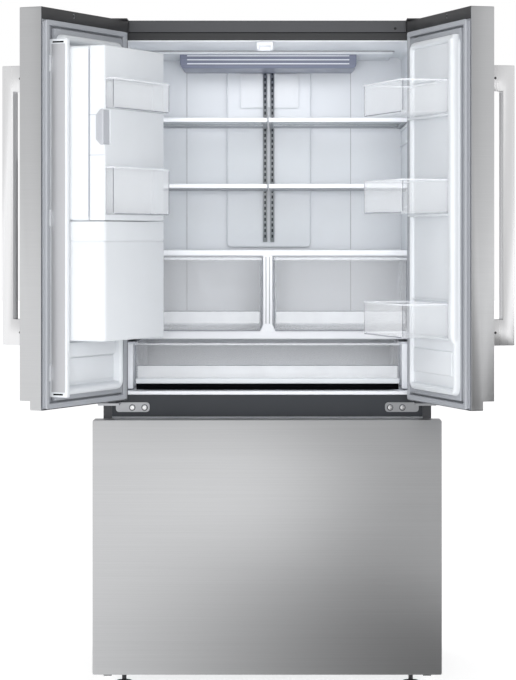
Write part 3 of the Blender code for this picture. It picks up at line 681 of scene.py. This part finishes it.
def make_crispers():
    for side in ("left", "right"):
        body = f"crisper_{side}"
        x, y, z = span(body)
        shell = bin_body(x, y, z, 0.0025, 0.012, 0.004, 0.003, 0.002)
        piece(f"{body}_shell", [shell], "clear_plastic", body, (body,))
        band = slab((x[0] + 0.008, x[1] - 0.008), (y[0] - 0.0002, y[0] + 0.0045), (0.9505, 0.9835), 0.001, 2)
        piece(f"{body}_band", [band], "frosted", body)
        rim = hoop((x[0] + 0.0002, x[1] - 0.0002), (y[0] + 0.0002, y[1] - 0.0002), 0.012,
                   flat_band(0.0045, z[1] - 0.007, z[1] - 0.0004), "Z")
        piece(f"{body}_rim", [rim], "clear_rim", body)
        # Dark lines at the band's top, the foot and the front corners: painted shade where the clear plastic
        # turns.
        lines = [
            block((x[0] + 0.006, x[1] - 0.006), (y[0] - 0.0006, y[0] + 0.001), (0.9833, 0.9847)),
            block((x[0] + 0.006, x[1] - 0.006), (y[0] + 0.0012, y[0] + 0.004),
                  (z[0] + 0.0002, z[0] + 0.0022)),
        ]
        for a in (x[0] + 0.0035, x[1] - 0.005):
            lines.append(block((a, a + 0.0015), (y[0] + 0.0008, y[0] + 0.0028), (z[0] + 0.006, z[1] - 0.008)))
        piece(f"{body}_lines", lines, "clear_edge_shade", body)


def make_pantry():
    x, y, z = span("pantry_drawer")
    base = z[0] + 0.017
    shell = bin_body(x, y, (base, z[1]), 0.003, 0.016, 0.004, 0.003, 0.002)
    piece("pantry_shell", [shell], "clear_plastic", "pantry_drawer", ("pantry_drawer",))
    sill = [
        slab((x[0] + 0.004, x[1] - 0.004), (y[0] + 0.0006, y[0] + 0.012), (base - 0.001, base + 0.0135),
             0.003),
        slab((x[0] + 0.02, x[1] - 0.02), (y[0] + 0.02, y[1] - 0.02), (z[0] + 0.003, base), 0.003),
    ]
    piece("pantry_sill", sill, "door_liner", "pantry_drawer")
    rim = hoop((x[0] + 0.0002, x[1] - 0.0002), (y[0] + 0.0002, y[1] - 0.0002), 0.016,
               flat_band(0.005, z[1] - 0.006, z[1] - 0.0004), "Z")
    piece("pantry_rim", [rim], "clear_rim", "pantry_drawer")
    # Dark lines at the band's top, the front corners and under the rim: painted shade where the clear plastic
    # turns.
    lines = [block((x[0] + 0.008, x[1] - 0.008), (y[0] - 0.0006, y[0] + 0.001), (0.8432, 0.8446))]
    for a in (x[0] + 0.004, x[1] - 0.0056):
        lines.append(block((a, a + 0.0016), (y[0] + 0.001, y[0] + 0.003), (base + 0.012, z[1] - 0.006)))
    lines.append(block((x[0] + 0.012, x[1] - 0.012), (y[0] + 0.0002, y[0] + 0.0016),
                       (z[1] - 0.0014, z[1] - 0.0004)))
    piece("pantry_lines", lines, "clear_edge_shade", "pantry_drawer")
    runners = []
    for side in (-1, 1):
        a = sorted((side * 0.3560, side * 0.3792))
        runners.append(slab(a, (y[0] + 0.004, y[1]), (z[0] + 0.002, z[1] - 0.002), 0.003))
    piece("pantry_runners", runners, "liner")
    band = slab((x[0] + 0.010, x[1] - 0.010), (y[0] + 0.0004, y[0] + 0.005), (base + 0.014, 0.8430), 0.001, 2)
    piece("pantry_band", [band], "frosted", "pantry_drawer")
    # A near-black block under the pantry's base: painted shade in the recess below the drawer.
    shade = block((x[0] + 0.006, x[1] - 0.006), (y[0] + 0.006, y[0] + 0.010), (z[0] + 0.0005, base - 0.0012))
    piece("pantry_recess_shade", [shade], "painted_shade_black", "pantry_drawer")


# The freezer drawer -------------------------------------------------------------------------


def make_freezer():
    softened("freezer_front_skin", "steel", 0.0005)
    x, y, z = span("freezer_front_skin")
    # A near-black sheet inside the grip pocket at the drawer's top: painted shade.
    grip = block((-0.399, 0.399), (-0.0615, -0.0345), (0.6842, 0.6850))
    piece("drawer_grip_shade", [grip], "painted_shade_black", "freezer_drawer")
    make_seal("freezer_gasket", "gasket")
    for node, look, rim_look in (("freezer_bin", "liner", "liner_bright"),
                                 ("freezer_tray", "clear_plastic", "clear_rim")):
        body = NODES[node]["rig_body"]
        x, y, z = span(node)
        shell = bin_body(x, y, z, 0.003, 0.02, 0.003, 0.006, 0.003)
        piece(f"{node}_shell", [shell], look, body, (node,))
        rim = hoop((x[0] + 0.0002, x[1] - 0.0002), (y[0] + 0.0002, y[1] - 0.0002), 0.02,
                   flat_band(0.006, z[1] - 0.008, z[1] - 0.0003), "Z")
        piece(f"{node}_rim", [rim], rim_look, body)


def make_seal(node, look):
    """A door seal: a magnet bulb on a folded bellows."""
    x, y, z = span(node)
    depth = y[1] - y[0]
    low = y[0]
    section = [
        (0.0030, low), (0.0035, low + 0.25 * depth), (0.0012, low + 0.38 * depth),
        (0.0034, low + 0.52 * depth),
        (0.0004, low + 0.66 * depth), (0.0, low + 0.80 * depth), (0.0008, y[1]), (0.0122, y[1]),
        (0.0136, low + 0.80 * depth), (0.0130, low + 0.60 * depth), (0.0100, low + 0.45 * depth),
        (0.0105, low),
    ]
    piece(f"{node}_bellows", [hoop(x, z, 0.006, section)], look, NODES[node]["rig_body"], (node,))


# The doors ----------------------------------------------------------------------------------


def make_door_common(side):
    door = f"{side}_door"
    sign = -1 if side == "left" else 1
    softened(f"{door}_skin", "steel", 0.0005)
    softened(f"{side}_handle", "handle_steel", 0.0028, 3)
    make_seal(f"{door}_gasket", "gasket")
    x, _, z = span(f"{door}_skin")
    face = span(f"{door}_core")[1][1]
    # A near-black band round the door's inner face: painted shade in the seam between skin and core.
    joint_shade = hoop((x[0] + 0.0016, x[1] - 0.0016), (z[0] + 0.0016, z[1] - 0.0016), 0.003,
                      flat_band(0.0014, face - 0.0012, face + 0.0004))
    piece(f"{door}_joint_shade", [joint_shade], "painted_shade_black", door)
    inside = (x[0] + 0.0018, x[1] - 0.0018)
    cap = slab(inside, (face - 0.002, face + 0.0013), (1.7175, z[1] - 0.0003), 0.001, 2)
    hole = turned([(0.006, -0.004), (0.006, 0.003)], (sign * 0.165, face, 1.7365), "Y", 16)
    body = carved(cap, [hole])
    piece(f"{side}_door_cap", [body], "cap_plastic", door)
    heads = [screw((sign * 0.165, face - 0.0015, 1.7365), "Y", 1, 0.0045)]
    piece(f"{side}_cap_screw", heads, "cap_plastic", door)
    hx, hy, hz = span(f"{side}_handle")
    middle = (hx[0] + hx[1]) / 2
    dots = []
    for level in (hz[0] + 0.032, hz[1] - 0.032):
        for edge, way in ((hx[0], -1), (hx[1], 1)):
            dots.append(turned([(0.0032, 0.0), (0.0030, way * 0.0004), (0.0016, way * 0.0002)],
                               (edge, hy[1] - 0.012, level), "X", 14))
    piece(f"{side}_handle_screws", dots, "black_plastic", door)
    feet = [puck((middle - 0.0155, middle + 0.0155), (low, low + 0.071), "Y", hy[1] - 0.0015, hy[1], 0.004,
                 0.0006)
            for low in (hz[0] - 0.003, hz[1] - 0.068)]
    piece(f"{side}_handle_pads", feet, "trim_grey", door)


def dike(x, z, corner, low, high, width):
    """The raised border of an inner door panel, rounded over its crest."""
    rise = high - low
    section = [
        (0.0, low), (0.0008, low + 0.55 * rise), (0.003, low + 0.85 * rise), (0.007, high),
        (width - 0.008, high), (width - 0.003, low + 0.8 * rise), (width, low + 0.3 * rise),
        (width + 0.003, low),
    ]
    return hoop(x, z, corner, section)


def make_left_door():
    make_door_common("left")
    x, y, z = span("left_door_liner")
    base = slab(x, (y[0], -0.003), z, 0.003)
    border = dike((-0.3735, -0.052), (0.792, 1.684), 0.024, -0.006, 0.016, 0.022)
    field = block((-0.360, -0.060), (-0.006, -0.0018), (0.80, 1.676))
    bulge_front, ice_front = y[1], 0.0895
    ice_x = (-0.3745, -0.050)
    lower = puck(ice_x, (-0.004, bulge_front), "Z", 0.928, 1.1748, 0.012, 0.006)
    upper = puck(ice_x, (-0.004, bulge_front), "Z", 1.1762, 1.2218, 0.012, 0.0012)
    core = puck((ice_x[0] + 0.002, ice_x[1] - 0.002), (-0.004, bulge_front - 0.002), "Z", 1.17, 1.18, 0.012,
                0.001)
    nook = slab((-0.3383, -0.1177), (-0.05, 0.0203), (0.9747, 1.2188), 0.001)
    window = ((-0.3383, -0.1177), (-0.05, 0.0203), (0.9747, 1.2188))
    piece("left_liner_flange", [carved(base, [block(*window)])], "door_frame", "left_door")
    field = carved(field, [block(*window)])
    lower = carved(lower, [nook])
    room = hoop(ice_x, (1.222, 1.653), 0.010, [
        (0.0, -0.004), (0.0, ice_front - 0.0025), (0.0007, ice_front - 0.0007), (0.0025, ice_front),
        (0.0115, ice_front), (0.0135, ice_front - 0.001), (0.014, ice_front - 0.003), (0.014, -0.004),
    ])
    back = block((ice_x[0] + 0.002, ice_x[1] - 0.002), (-0.006, -0.0032), (1.224, 1.651))
    piece("left_inner_panel", [field, border, lower, core, upper, room, back], "door_liner", "left_door",
          ("left_door_liner",))
    ledge = [
        slab((-0.345, -0.080), (-0.006, 0.006), (0.884, 0.922), 0.004),
        slab((-0.345, -0.080), (-0.006, 0.001), (0.822, 0.882), 0.002),
    ]
    piece("left_lower_panel", ledge, "door_liner", "left_door")
    seal = hoop((ice_x[0] + 0.006, ice_x[1] - 0.006), (1.228, 1.647), 0.006,
                flat_band(0.006, ice_front - 0.0006, ice_front + 0.0002))
    piece("ice_room_seal", [seal], "gasket", "left_door")
    make_ice_door()
    make_ice_maker()
    make_flap()
    make_dispenser()


def make_ice_door():
    x, y, z = span("ice_room_door")
    panel = puck((x[0], x[1]), (y[0], y[1]), "Z", z[0], z[1], 0.007, 0.004)
    cuts = []
    for node in ("dairy_bin", "milk_bin"):
        bx, by, bz = span(node)
        cuts.append(block((bx[0] - 0.0008, bx[1] + 0.0008), (by[0] - 0.0006, 0.17),
                          (bz[0] - 0.001, bz[1] + 0.001)))
    cuts.append(slab((-0.0825, -0.030), (0.1300, 0.15), (1.409, 1.495), 0.003))
    piece("ice_door_panel", [carved(panel, cuts)], "door_liner", "ice_room_door", ("ice_room_door",))
    scoop = slab((-0.0822, -0.0512), (0.126, 0.1312), (1.4095, 1.4945), 0.001, 2)
    piece("latch_scoop", [scoop], "latch_grey", "ice_room_door")
    seams = [block((x[1] - 0.001, x[1] + 0.0002), (y[0] + 0.001, y[1] - 0.001), (level, level + 0.0014))
             for level in (1.383, 1.4815)]
    seams += [block((x[1] - 0.001, x[1] + 0.0002), (y[0] + 0.0008, y[0] + 0.0018),
                    (z[0] + 0.01, z[1] - 0.01))]
    piece("ice_door_seams", seams, "seam", "ice_room_door")
    lx, ly, lz = span("ice_latch")
    ly = (ly[0] + 0.019, ly[1])
    outline = [
        (ly[0], lz[0] + 0.014), (ly[0] + 0.010, lz[0] + 0.003), (ly[0] + 0.013, lz[0] + 0.0005),
        (ly[1] - 0.003, lz[0]), (ly[1], lz[0] + 0.003), (ly[1], lz[1] - 0.003), (ly[1] - 0.003, lz[1]),
        (ly[0] + 0.013, lz[1] - 0.0005), (ly[0] + 0.010, lz[1] - 0.003), (ly[0], lz[1] - 0.014),
    ]
    tab = prism(outline, "X", lx[0], lx[1])
    bmesh.ops.bevel(tab, geom=[e for e in tab.edges if e.calc_face_angle(0) > SHARP], offset=0.0012,
                    segments=2,
                    profile=0.5, affect="EDGES")
    ridges = [slab((lx[1] - 0.0005, lx[1] + 0.0008), (ly[0] + 0.006 + 0.003 * k, ly[0] + 0.0070 + 0.003 * k),
                   (lz[0] + 0.012, lz[1] - 0.012), 0.0004, 1) for k in range(4)]
    piece("latch_lever", [tab] + ridges, "latch_grey", "ice_latch", ("ice_latch",))
    for node in ("dairy_bin", "milk_bin"):
        make_bin(node, 0.010)


def make_bin(node, corner):
    """A clear door bin with a thick rim, and painted shade as dark lines down its front corners and along its
    foot.
    """
    body = NODES[node]["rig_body"]
    x, y, z = span(node)
    shell = bin_body(x, y, z, 0.0025, corner, 0.0025, 0.002, 0.0012)
    piece(f"{node}_shell", [shell], "clear_plastic", body, (node,))
    rim = hoop((x[0] + 0.0002, x[1] - 0.0002), (y[0] + 0.0002, y[1] - 0.0002), corner,
               flat_band(0.004, z[1] - 0.004, z[1] - 0.0003), "Z")
    piece(f"{node}_rim", [rim], "clear_rim", body)
    # Dark corner lines and foot line: painted shade at the clear plastic's edges.
    edges = [slab((a, a + 0.0016), (y[1] - corner * 0.45, y[1] - corner * 0.45 + 0.0016),
                  (z[0] + 0.004, z[1] - 0.004), 0.0003, 1)
             for a in (x[0] + corner * 0.32, x[1] - corner * 0.32 - 0.0016)]
    foot = block((x[0] + corner, x[1] - corner), (y[1] - 0.0028, y[1] - 0.0014),
                 (z[0] + 0.0004, z[0] + 0.0022))
    piece(f"{node}_lines", edges + [foot], "clear_edge_shade", body)


def make_ice_maker():
    x, y, z = span("ice_bucket")
    shell = bin_body(x, y, z, 0.0025, 0.01, 0.0025, 0.003, 0.001)
    piece("ice_bucket_shell", [shell], "clear_plastic", "left_door", ("ice_bucket",))
    mould = [
        slab((-0.340, -0.110), (0.006, 0.074), (1.520, 1.560), 0.004),
        slab((-0.105, -0.078), (0.004, 0.078), (1.500, 1.610), 0.004),
    ]
    for k in range(8):
        a = -0.335 + 0.028 * k
        mould.append(slab((a, a + 0.022), (0.012, 0.068), (1.561, 1.566), 0.002))
    piece("ice_maker", mould, "trim_grey", "left_door")
    ejector = [turned([(0.005, -0.336), (0.005, -0.112)], (0.0, 0.040, 1.580), "X", 12)]
    for k in range(8):
        a = -0.324 + 0.028 * k
        ejector.append(slab((a - 0.003, a + 0.003), (0.036, 0.066), (1.577, 1.583), 0.001, 1))
    piece("ice_ejector", ejector, "black_plastic", "left_door")


def make_flap():
    z = span("mullion_flap")[2]
    front, back = 0.0005, 0.0145
    wide = (-0.0275, 0.0235)
    body = carved(
        puck(wide, z, "Y", front, back, 0.003, 0.002),
        [slab((wide[0] + 0.006, wide[1] - 0.006), (front - 0.01, front + 0.0012),
              (z[0] + 0.012, z[1] - 0.012), 0.0005, 1)],
    )
    arm_heights = (0.85, 1.23, 1.61)
    arms = [slab((-0.0275, -0.0215), (-0.011, 0.004), (middle - 0.02, middle + 0.02), 0.0015)
            for middle in arm_heights]
    piece("flap_body", [body] + arms, "door_liner", "mullion_flap", ("mullion_flap",))
    plate = slab((wide[0] + 0.0065, wide[1] - 0.0065), (front + 0.0003, front + 0.002),
                 (z[0] + 0.0125, z[1] - 0.0125), 0.0004, 1)
    piece("flap_plate", [plate], "strip_steel", "mullion_flap")
    # Near-black blocks at the flap's two ends: painted shade in its slots.
    ends = [
        block((wide[0] + 0.010, wide[1] - 0.010), (front - 0.0002, front + 0.002),
              (z[1] - 0.010, z[1] - 0.006)),
        block((wide[0] + 0.012, wide[1] - 0.012), (front - 0.0002, front + 0.002),
              (z[0] + 0.005, z[0] + 0.009)),
    ]
    piece("flap_slot_shade", ends, "painted_shade_black", "mullion_flap")
    hook = slab((-0.016, 0.010), (front + 0.003, back - 0.002), (z[1] - 0.003, z[1] - 0.0002), 0.001, 1)
    piece("flap_hook", [hook], "trim_grey", "mullion_flap")


def make_dispenser():
    x, y, z = span("dispenser_housing")
    front = y[0]
    nook_top, sill = 1.2105, 0.995
    glass = puck((x[0] + 0.003, x[1] - 0.003), (nook_top + 0.006, z[1] - 0.003), "Y", front - 0.0008,
                 front + 0.0015, 0.006, 0.0004)
    piece("control_glass", [glass], "screen", "left_door")
    icons = []
    middle = (x[0] + x[1]) / 2
    icon_pitch, icon_level, underline = 0.038, 1.262, (1.241, 1.2425)
    for k in range(5):
        across = middle + icon_pitch * (k - 2)
        icons.append(turned([(0.0042, 0.0006), (0.0042, -0.0002)], (across, front - 0.0008, icon_level), "Y",
                            16))
        icons.append(slab((across - 0.009, across + 0.009), (front - 0.0011, front), underline, 0.0003, 1))
    icons.append(hoop((middle - 0.045, middle + 0.045), (1.295, 1.345), 0.006,
                      flat_band(0.0012, front, front - 0.0010)))
    piece("control_icons", icons, "icon", "left_door")
    trim = hoop(x, z, 0.004,
                [(0.0, front + 0.002), (0.0, front - 0.0004), (0.0025, front - 0.0006),
                 (0.0035, front + 0.002)])
    piece("dispenser_trim", [trim], "trim_grey", "left_door")
    spout = [
        turned([(0.020, 0.0), (0.017, -0.012), (0.011, -0.022), (0.008, -0.022)],
               (middle, -0.040, nook_top - 0.004), "Z"),
        turned([(0.006, 0.0), (0.0055, -0.014), (0.004, -0.014)], (middle + 0.045, -0.045, nook_top - 0.004),
               "Z"),
    ]
    piece("dispenser_spouts", spout, "black_plastic", "left_door")
    grille = carved(
        slab((x[0] + 0.006, x[1] - 0.006), (front + 0.002, 0.014), (sill - 0.003, sill + 0.002), 0.001, 2),
        [block((x[0] + 0.02, x[1] - 0.02), (level, level + 0.006), (sill - 0.0015, sill + 0.01)) for level in
         [front + 0.012 + 0.0115 * k for k in range(6)]],
    )
    piece("drip_grille", [grille], "trim_grey", "left_door")
    px, py, pz = span("dispenser_paddle")
    paddle = puck(px, pz, "Y", py[0], py[1], 0.012, 0.0018)
    piece("paddle_pad", [paddle], "black_plastic", "dispenser_paddle", ("dispenser_paddle",))


def make_right_door():
    make_door_common("right")
    x, y, z = span("right_door_liner")
    base = slab(x, (y[0], -0.003), z, 0.003)
    piece("right_liner_flange", [base], "door_frame", "right_door")
    border = dike((0.044, 0.3735), (0.792, 1.684), 0.024, -0.006, 0.0105, 0.020)
    field = slab((0.050, 0.368), (-0.008, 0.002), (0.80, 1.68), 0.004)
    column = loft([
        ring(rounded(0.050, 0.070, -0.006, 0.004, 0.004), "Z", 0.905),
        ring(rounded(0.0445, 0.0765, -0.006, 0.0192, 0.010), "Z", 0.935),
        ring(rounded(0.0445, 0.0765, -0.006, 0.0200, 0.010), "Z", 1.670),
        ring(rounded(0.050, 0.072, -0.006, 0.010, 0.006), "Z", 1.682),
    ])
    ledge = slab((0.080, 0.350), (-0.004, 0.0060), (0.838, 0.900), 0.004)
    piece("right_inner_panel", [border, field, column, ledge], "door_liner", "right_door",
          ("right_door_liner",))
    supports = []
    for word in ("upper", "middle", "lower"):
        bx, by, bz = span(f"right_bin_{word}")
        supports.append(slab((bx[0] + 0.004, bx[1] - 0.004), (0.0, by[0] + 0.010),
                             (bz[0] - 0.007, bz[0] - 0.001), 0.002))
        supports.append(slab((bx[0] + 0.01, bx[1] - 0.01), (0.0, by[0] - 0.001),
                             (bz[1] + 0.004, bz[1] + 0.008), 0.001, 2))
        make_bin(f"right_bin_{word}", 0.012)
    piece("bin_supports", supports, "door_liner", "right_door")


# Camera, light and floor --------------------------------------------------------------------


def make_camera():
    camera = bpy.data.cameras.new("camera")
    camera.lens = 129.4
    camera.shift_x, camera.shift_y = -0.0391, -0.1488
    camera.clip_end = 60
    holder = bpy.data.objects.new("camera", camera)
    holder.location = PLACES["cabinet"] @ Vector((0.0454, -6.428, 1.179))
    holder.rotation_euler = (math.radians(90), 0, 0)
    bpy.context.scene.collection.objects.link(holder)
    bpy.context.scene.camera = holder


def soft_light(name, place, target, size, power, in_gloss=True):
    light = bpy.data.lights.new(name, "AREA")
    light.shape = "RECTANGLE"
    light.size, light.size_y = size
    light.energy = power
    holder = bpy.data.objects.new(name, light)
    holder.location = place
    holder.rotation_euler = (Vector(target) - Vector(place)).to_track_quat("-Z", "Y").to_euler()
    holder.visible_glossy = in_gloss
    holder.visible_camera = False
    bpy.context.scene.collection.objects.link(holder)


def light_the_room(tree):
    """A pale room, brighter at its two sides for reflections, seen against plain white."""
    sky = tree.nodes["Background"]
    direction = tree.nodes.new("ShaderNodeTexCoord")
    parts = tree.nodes.new("ShaderNodeSeparateXYZ")
    side = tree.nodes.new("ShaderNodeMapRange")
    for socket, number in zip(("From Min", "From Max", "To Min", "To Max"), (0.1, 0.75, 0.42, 0.76)):
        side.inputs[socket].default_value = number
    white = tree.nodes.new("ShaderNodeBackground")
    seen = tree.nodes.new("ShaderNodeLightPath")
    mix = tree.nodes.new("ShaderNodeMixShader")
    tree.links.new(direction.outputs["Generated"], parts.inputs[0])
    away = tree.nodes.new("ShaderNodeMath")
    away.operation = "ABSOLUTE"
    tree.links.new(parts.outputs["X"], away.inputs[0])
    tree.links.new(away.outputs[0], side.inputs["Value"])
    level = tree.nodes.new("ShaderNodeMix")
    level.inputs[2].default_value = 0.66
    tree.links.new(seen.outputs["Is Glossy Ray"], level.inputs[0])
    tree.links.new(side.outputs["Result"], level.inputs[3])
    tree.links.new(level.outputs[0], sky.inputs["Strength"])
    sky.inputs["Color"].default_value = (1.0, 1.0, 1.0, 1.0)
    white.inputs["Color"].default_value = (1.0, 1.0, 1.0, 1.0)
    tree.links.new(seen.outputs["Is Camera Ray"], mix.inputs["Fac"])
    tree.links.new(sky.outputs[0], mix.inputs[1])
    tree.links.new(white.outputs[0], mix.inputs[2])
    tree.links.new(mix.outputs[0], tree.nodes["World Output"].inputs["Surface"])


def make_reflectors():
    """Cards in front of the appliance that only the metal sees: bright on the left, dark on the right."""
    floor = [(-8, -18, 0.004), (3.4, -18, 0.004), (3.4, -0.20, 0.004), (-8, -0.20, 0.004)]
    glowing_card("floor_reflector", floor, (-0.9, -0.18, 0.0), (-0.55, 0.85, 0.13, 0.96), (20.0, 21.0),
                 (20.0, 21.0))
    wall = [(-1.3, -3.2, 0.005), (1.3, -3.2, 0.005), (1.3, -3.2, 1.3), (-1.3, -3.2, 1.3)]
    glowing_card("wall_reflector", wall, (-1.0, 0.0, 0.0), (-0.75, 0.05, 0.14, 1.30), (0.85, 1.3),
                 (0.95, 1.3))


def faded(tree, value, edge):
    """One within the first distance of the edge pair, falling to nothing at the second."""
    size = tree.nodes.new("ShaderNodeMath")
    size.operation = "ABSOLUTE"
    fall = tree.nodes.new("ShaderNodeMapRange")
    fall.interpolation_type = "SMOOTHSTEP"
    for socket, number in zip(("From Min", "From Max", "To Min", "To Max"), (*edge, 1.0, 0.0)):
        fall.inputs[socket].default_value = number
    tree.links.new(value, size.inputs[0])
    tree.links.new(size.outputs[0], fall.inputs["Value"])
    return fall.outputs["Result"]


def glowing_card(name, corners, direction, levels, across, up):
    """A card whose light changes along one direction and that fades out towards its edges."""
    mesh = bpy.data.meshes.new(name)
    mesh.from_pydata(corners, [], [(0, 1, 2, 3)])
    card = bpy.data.objects.new(name, mesh)
    bpy.context.scene.collection.objects.link(card)
    material = bpy.data.materials.new(name)
    material.use_nodes = True
    tree = material.node_tree
    tree.nodes.remove(tree.nodes["Principled BSDF"])
    glow = tree.nodes.new("ShaderNodeEmission")
    place = tree.nodes.new("ShaderNodeTexCoord").outputs["Object"]
    along = tree.nodes.new("ShaderNodeVectorMath")
    along.operation = "DOT_PRODUCT"
    along.inputs[1].default_value = direction
    fade = tree.nodes.new("ShaderNodeMapRange")
    fade.interpolation_type = "SMOOTHSTEP"
    for socket, number in zip(("From Min", "From Max", "To Min", "To Max"), levels):
        fade.inputs[socket].default_value = number
    tree.links.new(place, along.inputs[0])
    tree.links.new(along.outputs["Value"], fade.inputs["Value"])
    tree.links.new(fade.outputs["Result"], glow.inputs["Strength"])
    parts = tree.nodes.new("ShaderNodeSeparateXYZ")
    tree.links.new(place, parts.inputs[0])
    solid = tree.nodes.new("ShaderNodeMath")
    solid.operation = "MULTIPLY"
    tree.links.new(faded(tree, parts.outputs["X"], across), solid.inputs[0])
    tree.links.new(faded(tree, parts.outputs["Z"], up), solid.inputs[1])
    mix = tree.nodes.new("ShaderNodeMixShader")
    tree.links.new(solid.outputs[0], mix.inputs["Fac"])
    tree.links.new(tree.nodes.new("ShaderNodeBsdfTransparent").outputs[0], mix.inputs[1])
    tree.links.new(glow.outputs[0], mix.inputs[2])
    tree.links.new(mix.outputs[0], tree.nodes["Material Output"].inputs["Surface"])
    mesh.materials.append(material)
    for ray in ("camera", "diffuse", "transmission", "shadow", "volume_scatter"):
        setattr(card, f"visible_{ray}", False)


def in_case(depth, height):
    """A point on the case's middle plane."""
    return PLACES["cabinet"] @ Vector((0.0, depth, height))


def make_studio():
    world = bpy.data.worlds.new("studio")
    bpy.context.scene.world = world
    world.use_nodes = True
    light_the_room(world.node_tree)
    soft_light("key", (-3.6, -5.2, 3.4), (0.0, -0.2, 1.0), (3.6, 3.6), 60, in_gloss=False)
    soft_light("front", (0.3, -8.5, 2.0), (0.0, 0.2, 1.1), (3.0, 2.4), 270, in_gloss=False)
    soft_light("fridge_lamp", in_case(0.44, 1.645), in_case(0.39, 0.8), (0.44, 0.16), 0.3, False)
    soft_light("cavity_fill", in_case(-0.02, 1.40), in_case(0.5, 1.36), (0.60, 0.50), 0.6, False)
    for name, height in (("crisper_light", 1.127), ("pantry_light", 0.902)):
        soft_light(name, in_case(0.36, height), in_case(0.31, height - 1), (0.66, 0.36), 0.3, False)
    mesh = bpy.data.meshes.new("floor")
    mesh.from_pydata([(-40, -40, 0), (40, -40, 0), (40, 40, 0), (-40, 40, 0)], [], [(0, 1, 2, 3)])
    floor = bpy.data.objects.new("floor", mesh)
    bpy.context.scene.collection.objects.link(floor)
    paper = Look("paper", "", (0.93, 0.93, 0.93), 0.85, Emission_Strength=0.52)
    paper.set("Emission Color", (1.0, 1.0, 1.0, 1.0))
    paper.bump(paper.noise((40.0,) * 3, 2.0), 0.05, 0.001)
    mesh.materials.append(paper.material)
    make_reflectors()
    bpy.context.scene.view_settings.view_transform = "Standard"


def main():
    make_camera()
    make_studio()
    make_looks()
    dress_nodes()
    make_back()
    make_fronts_of_case()
    make_cavity()
    make_shelves()
    make_crisper_frame()
    make_crispers()
    make_pantry()
    make_freezer()
    make_left_door()
    make_right_door()


main()
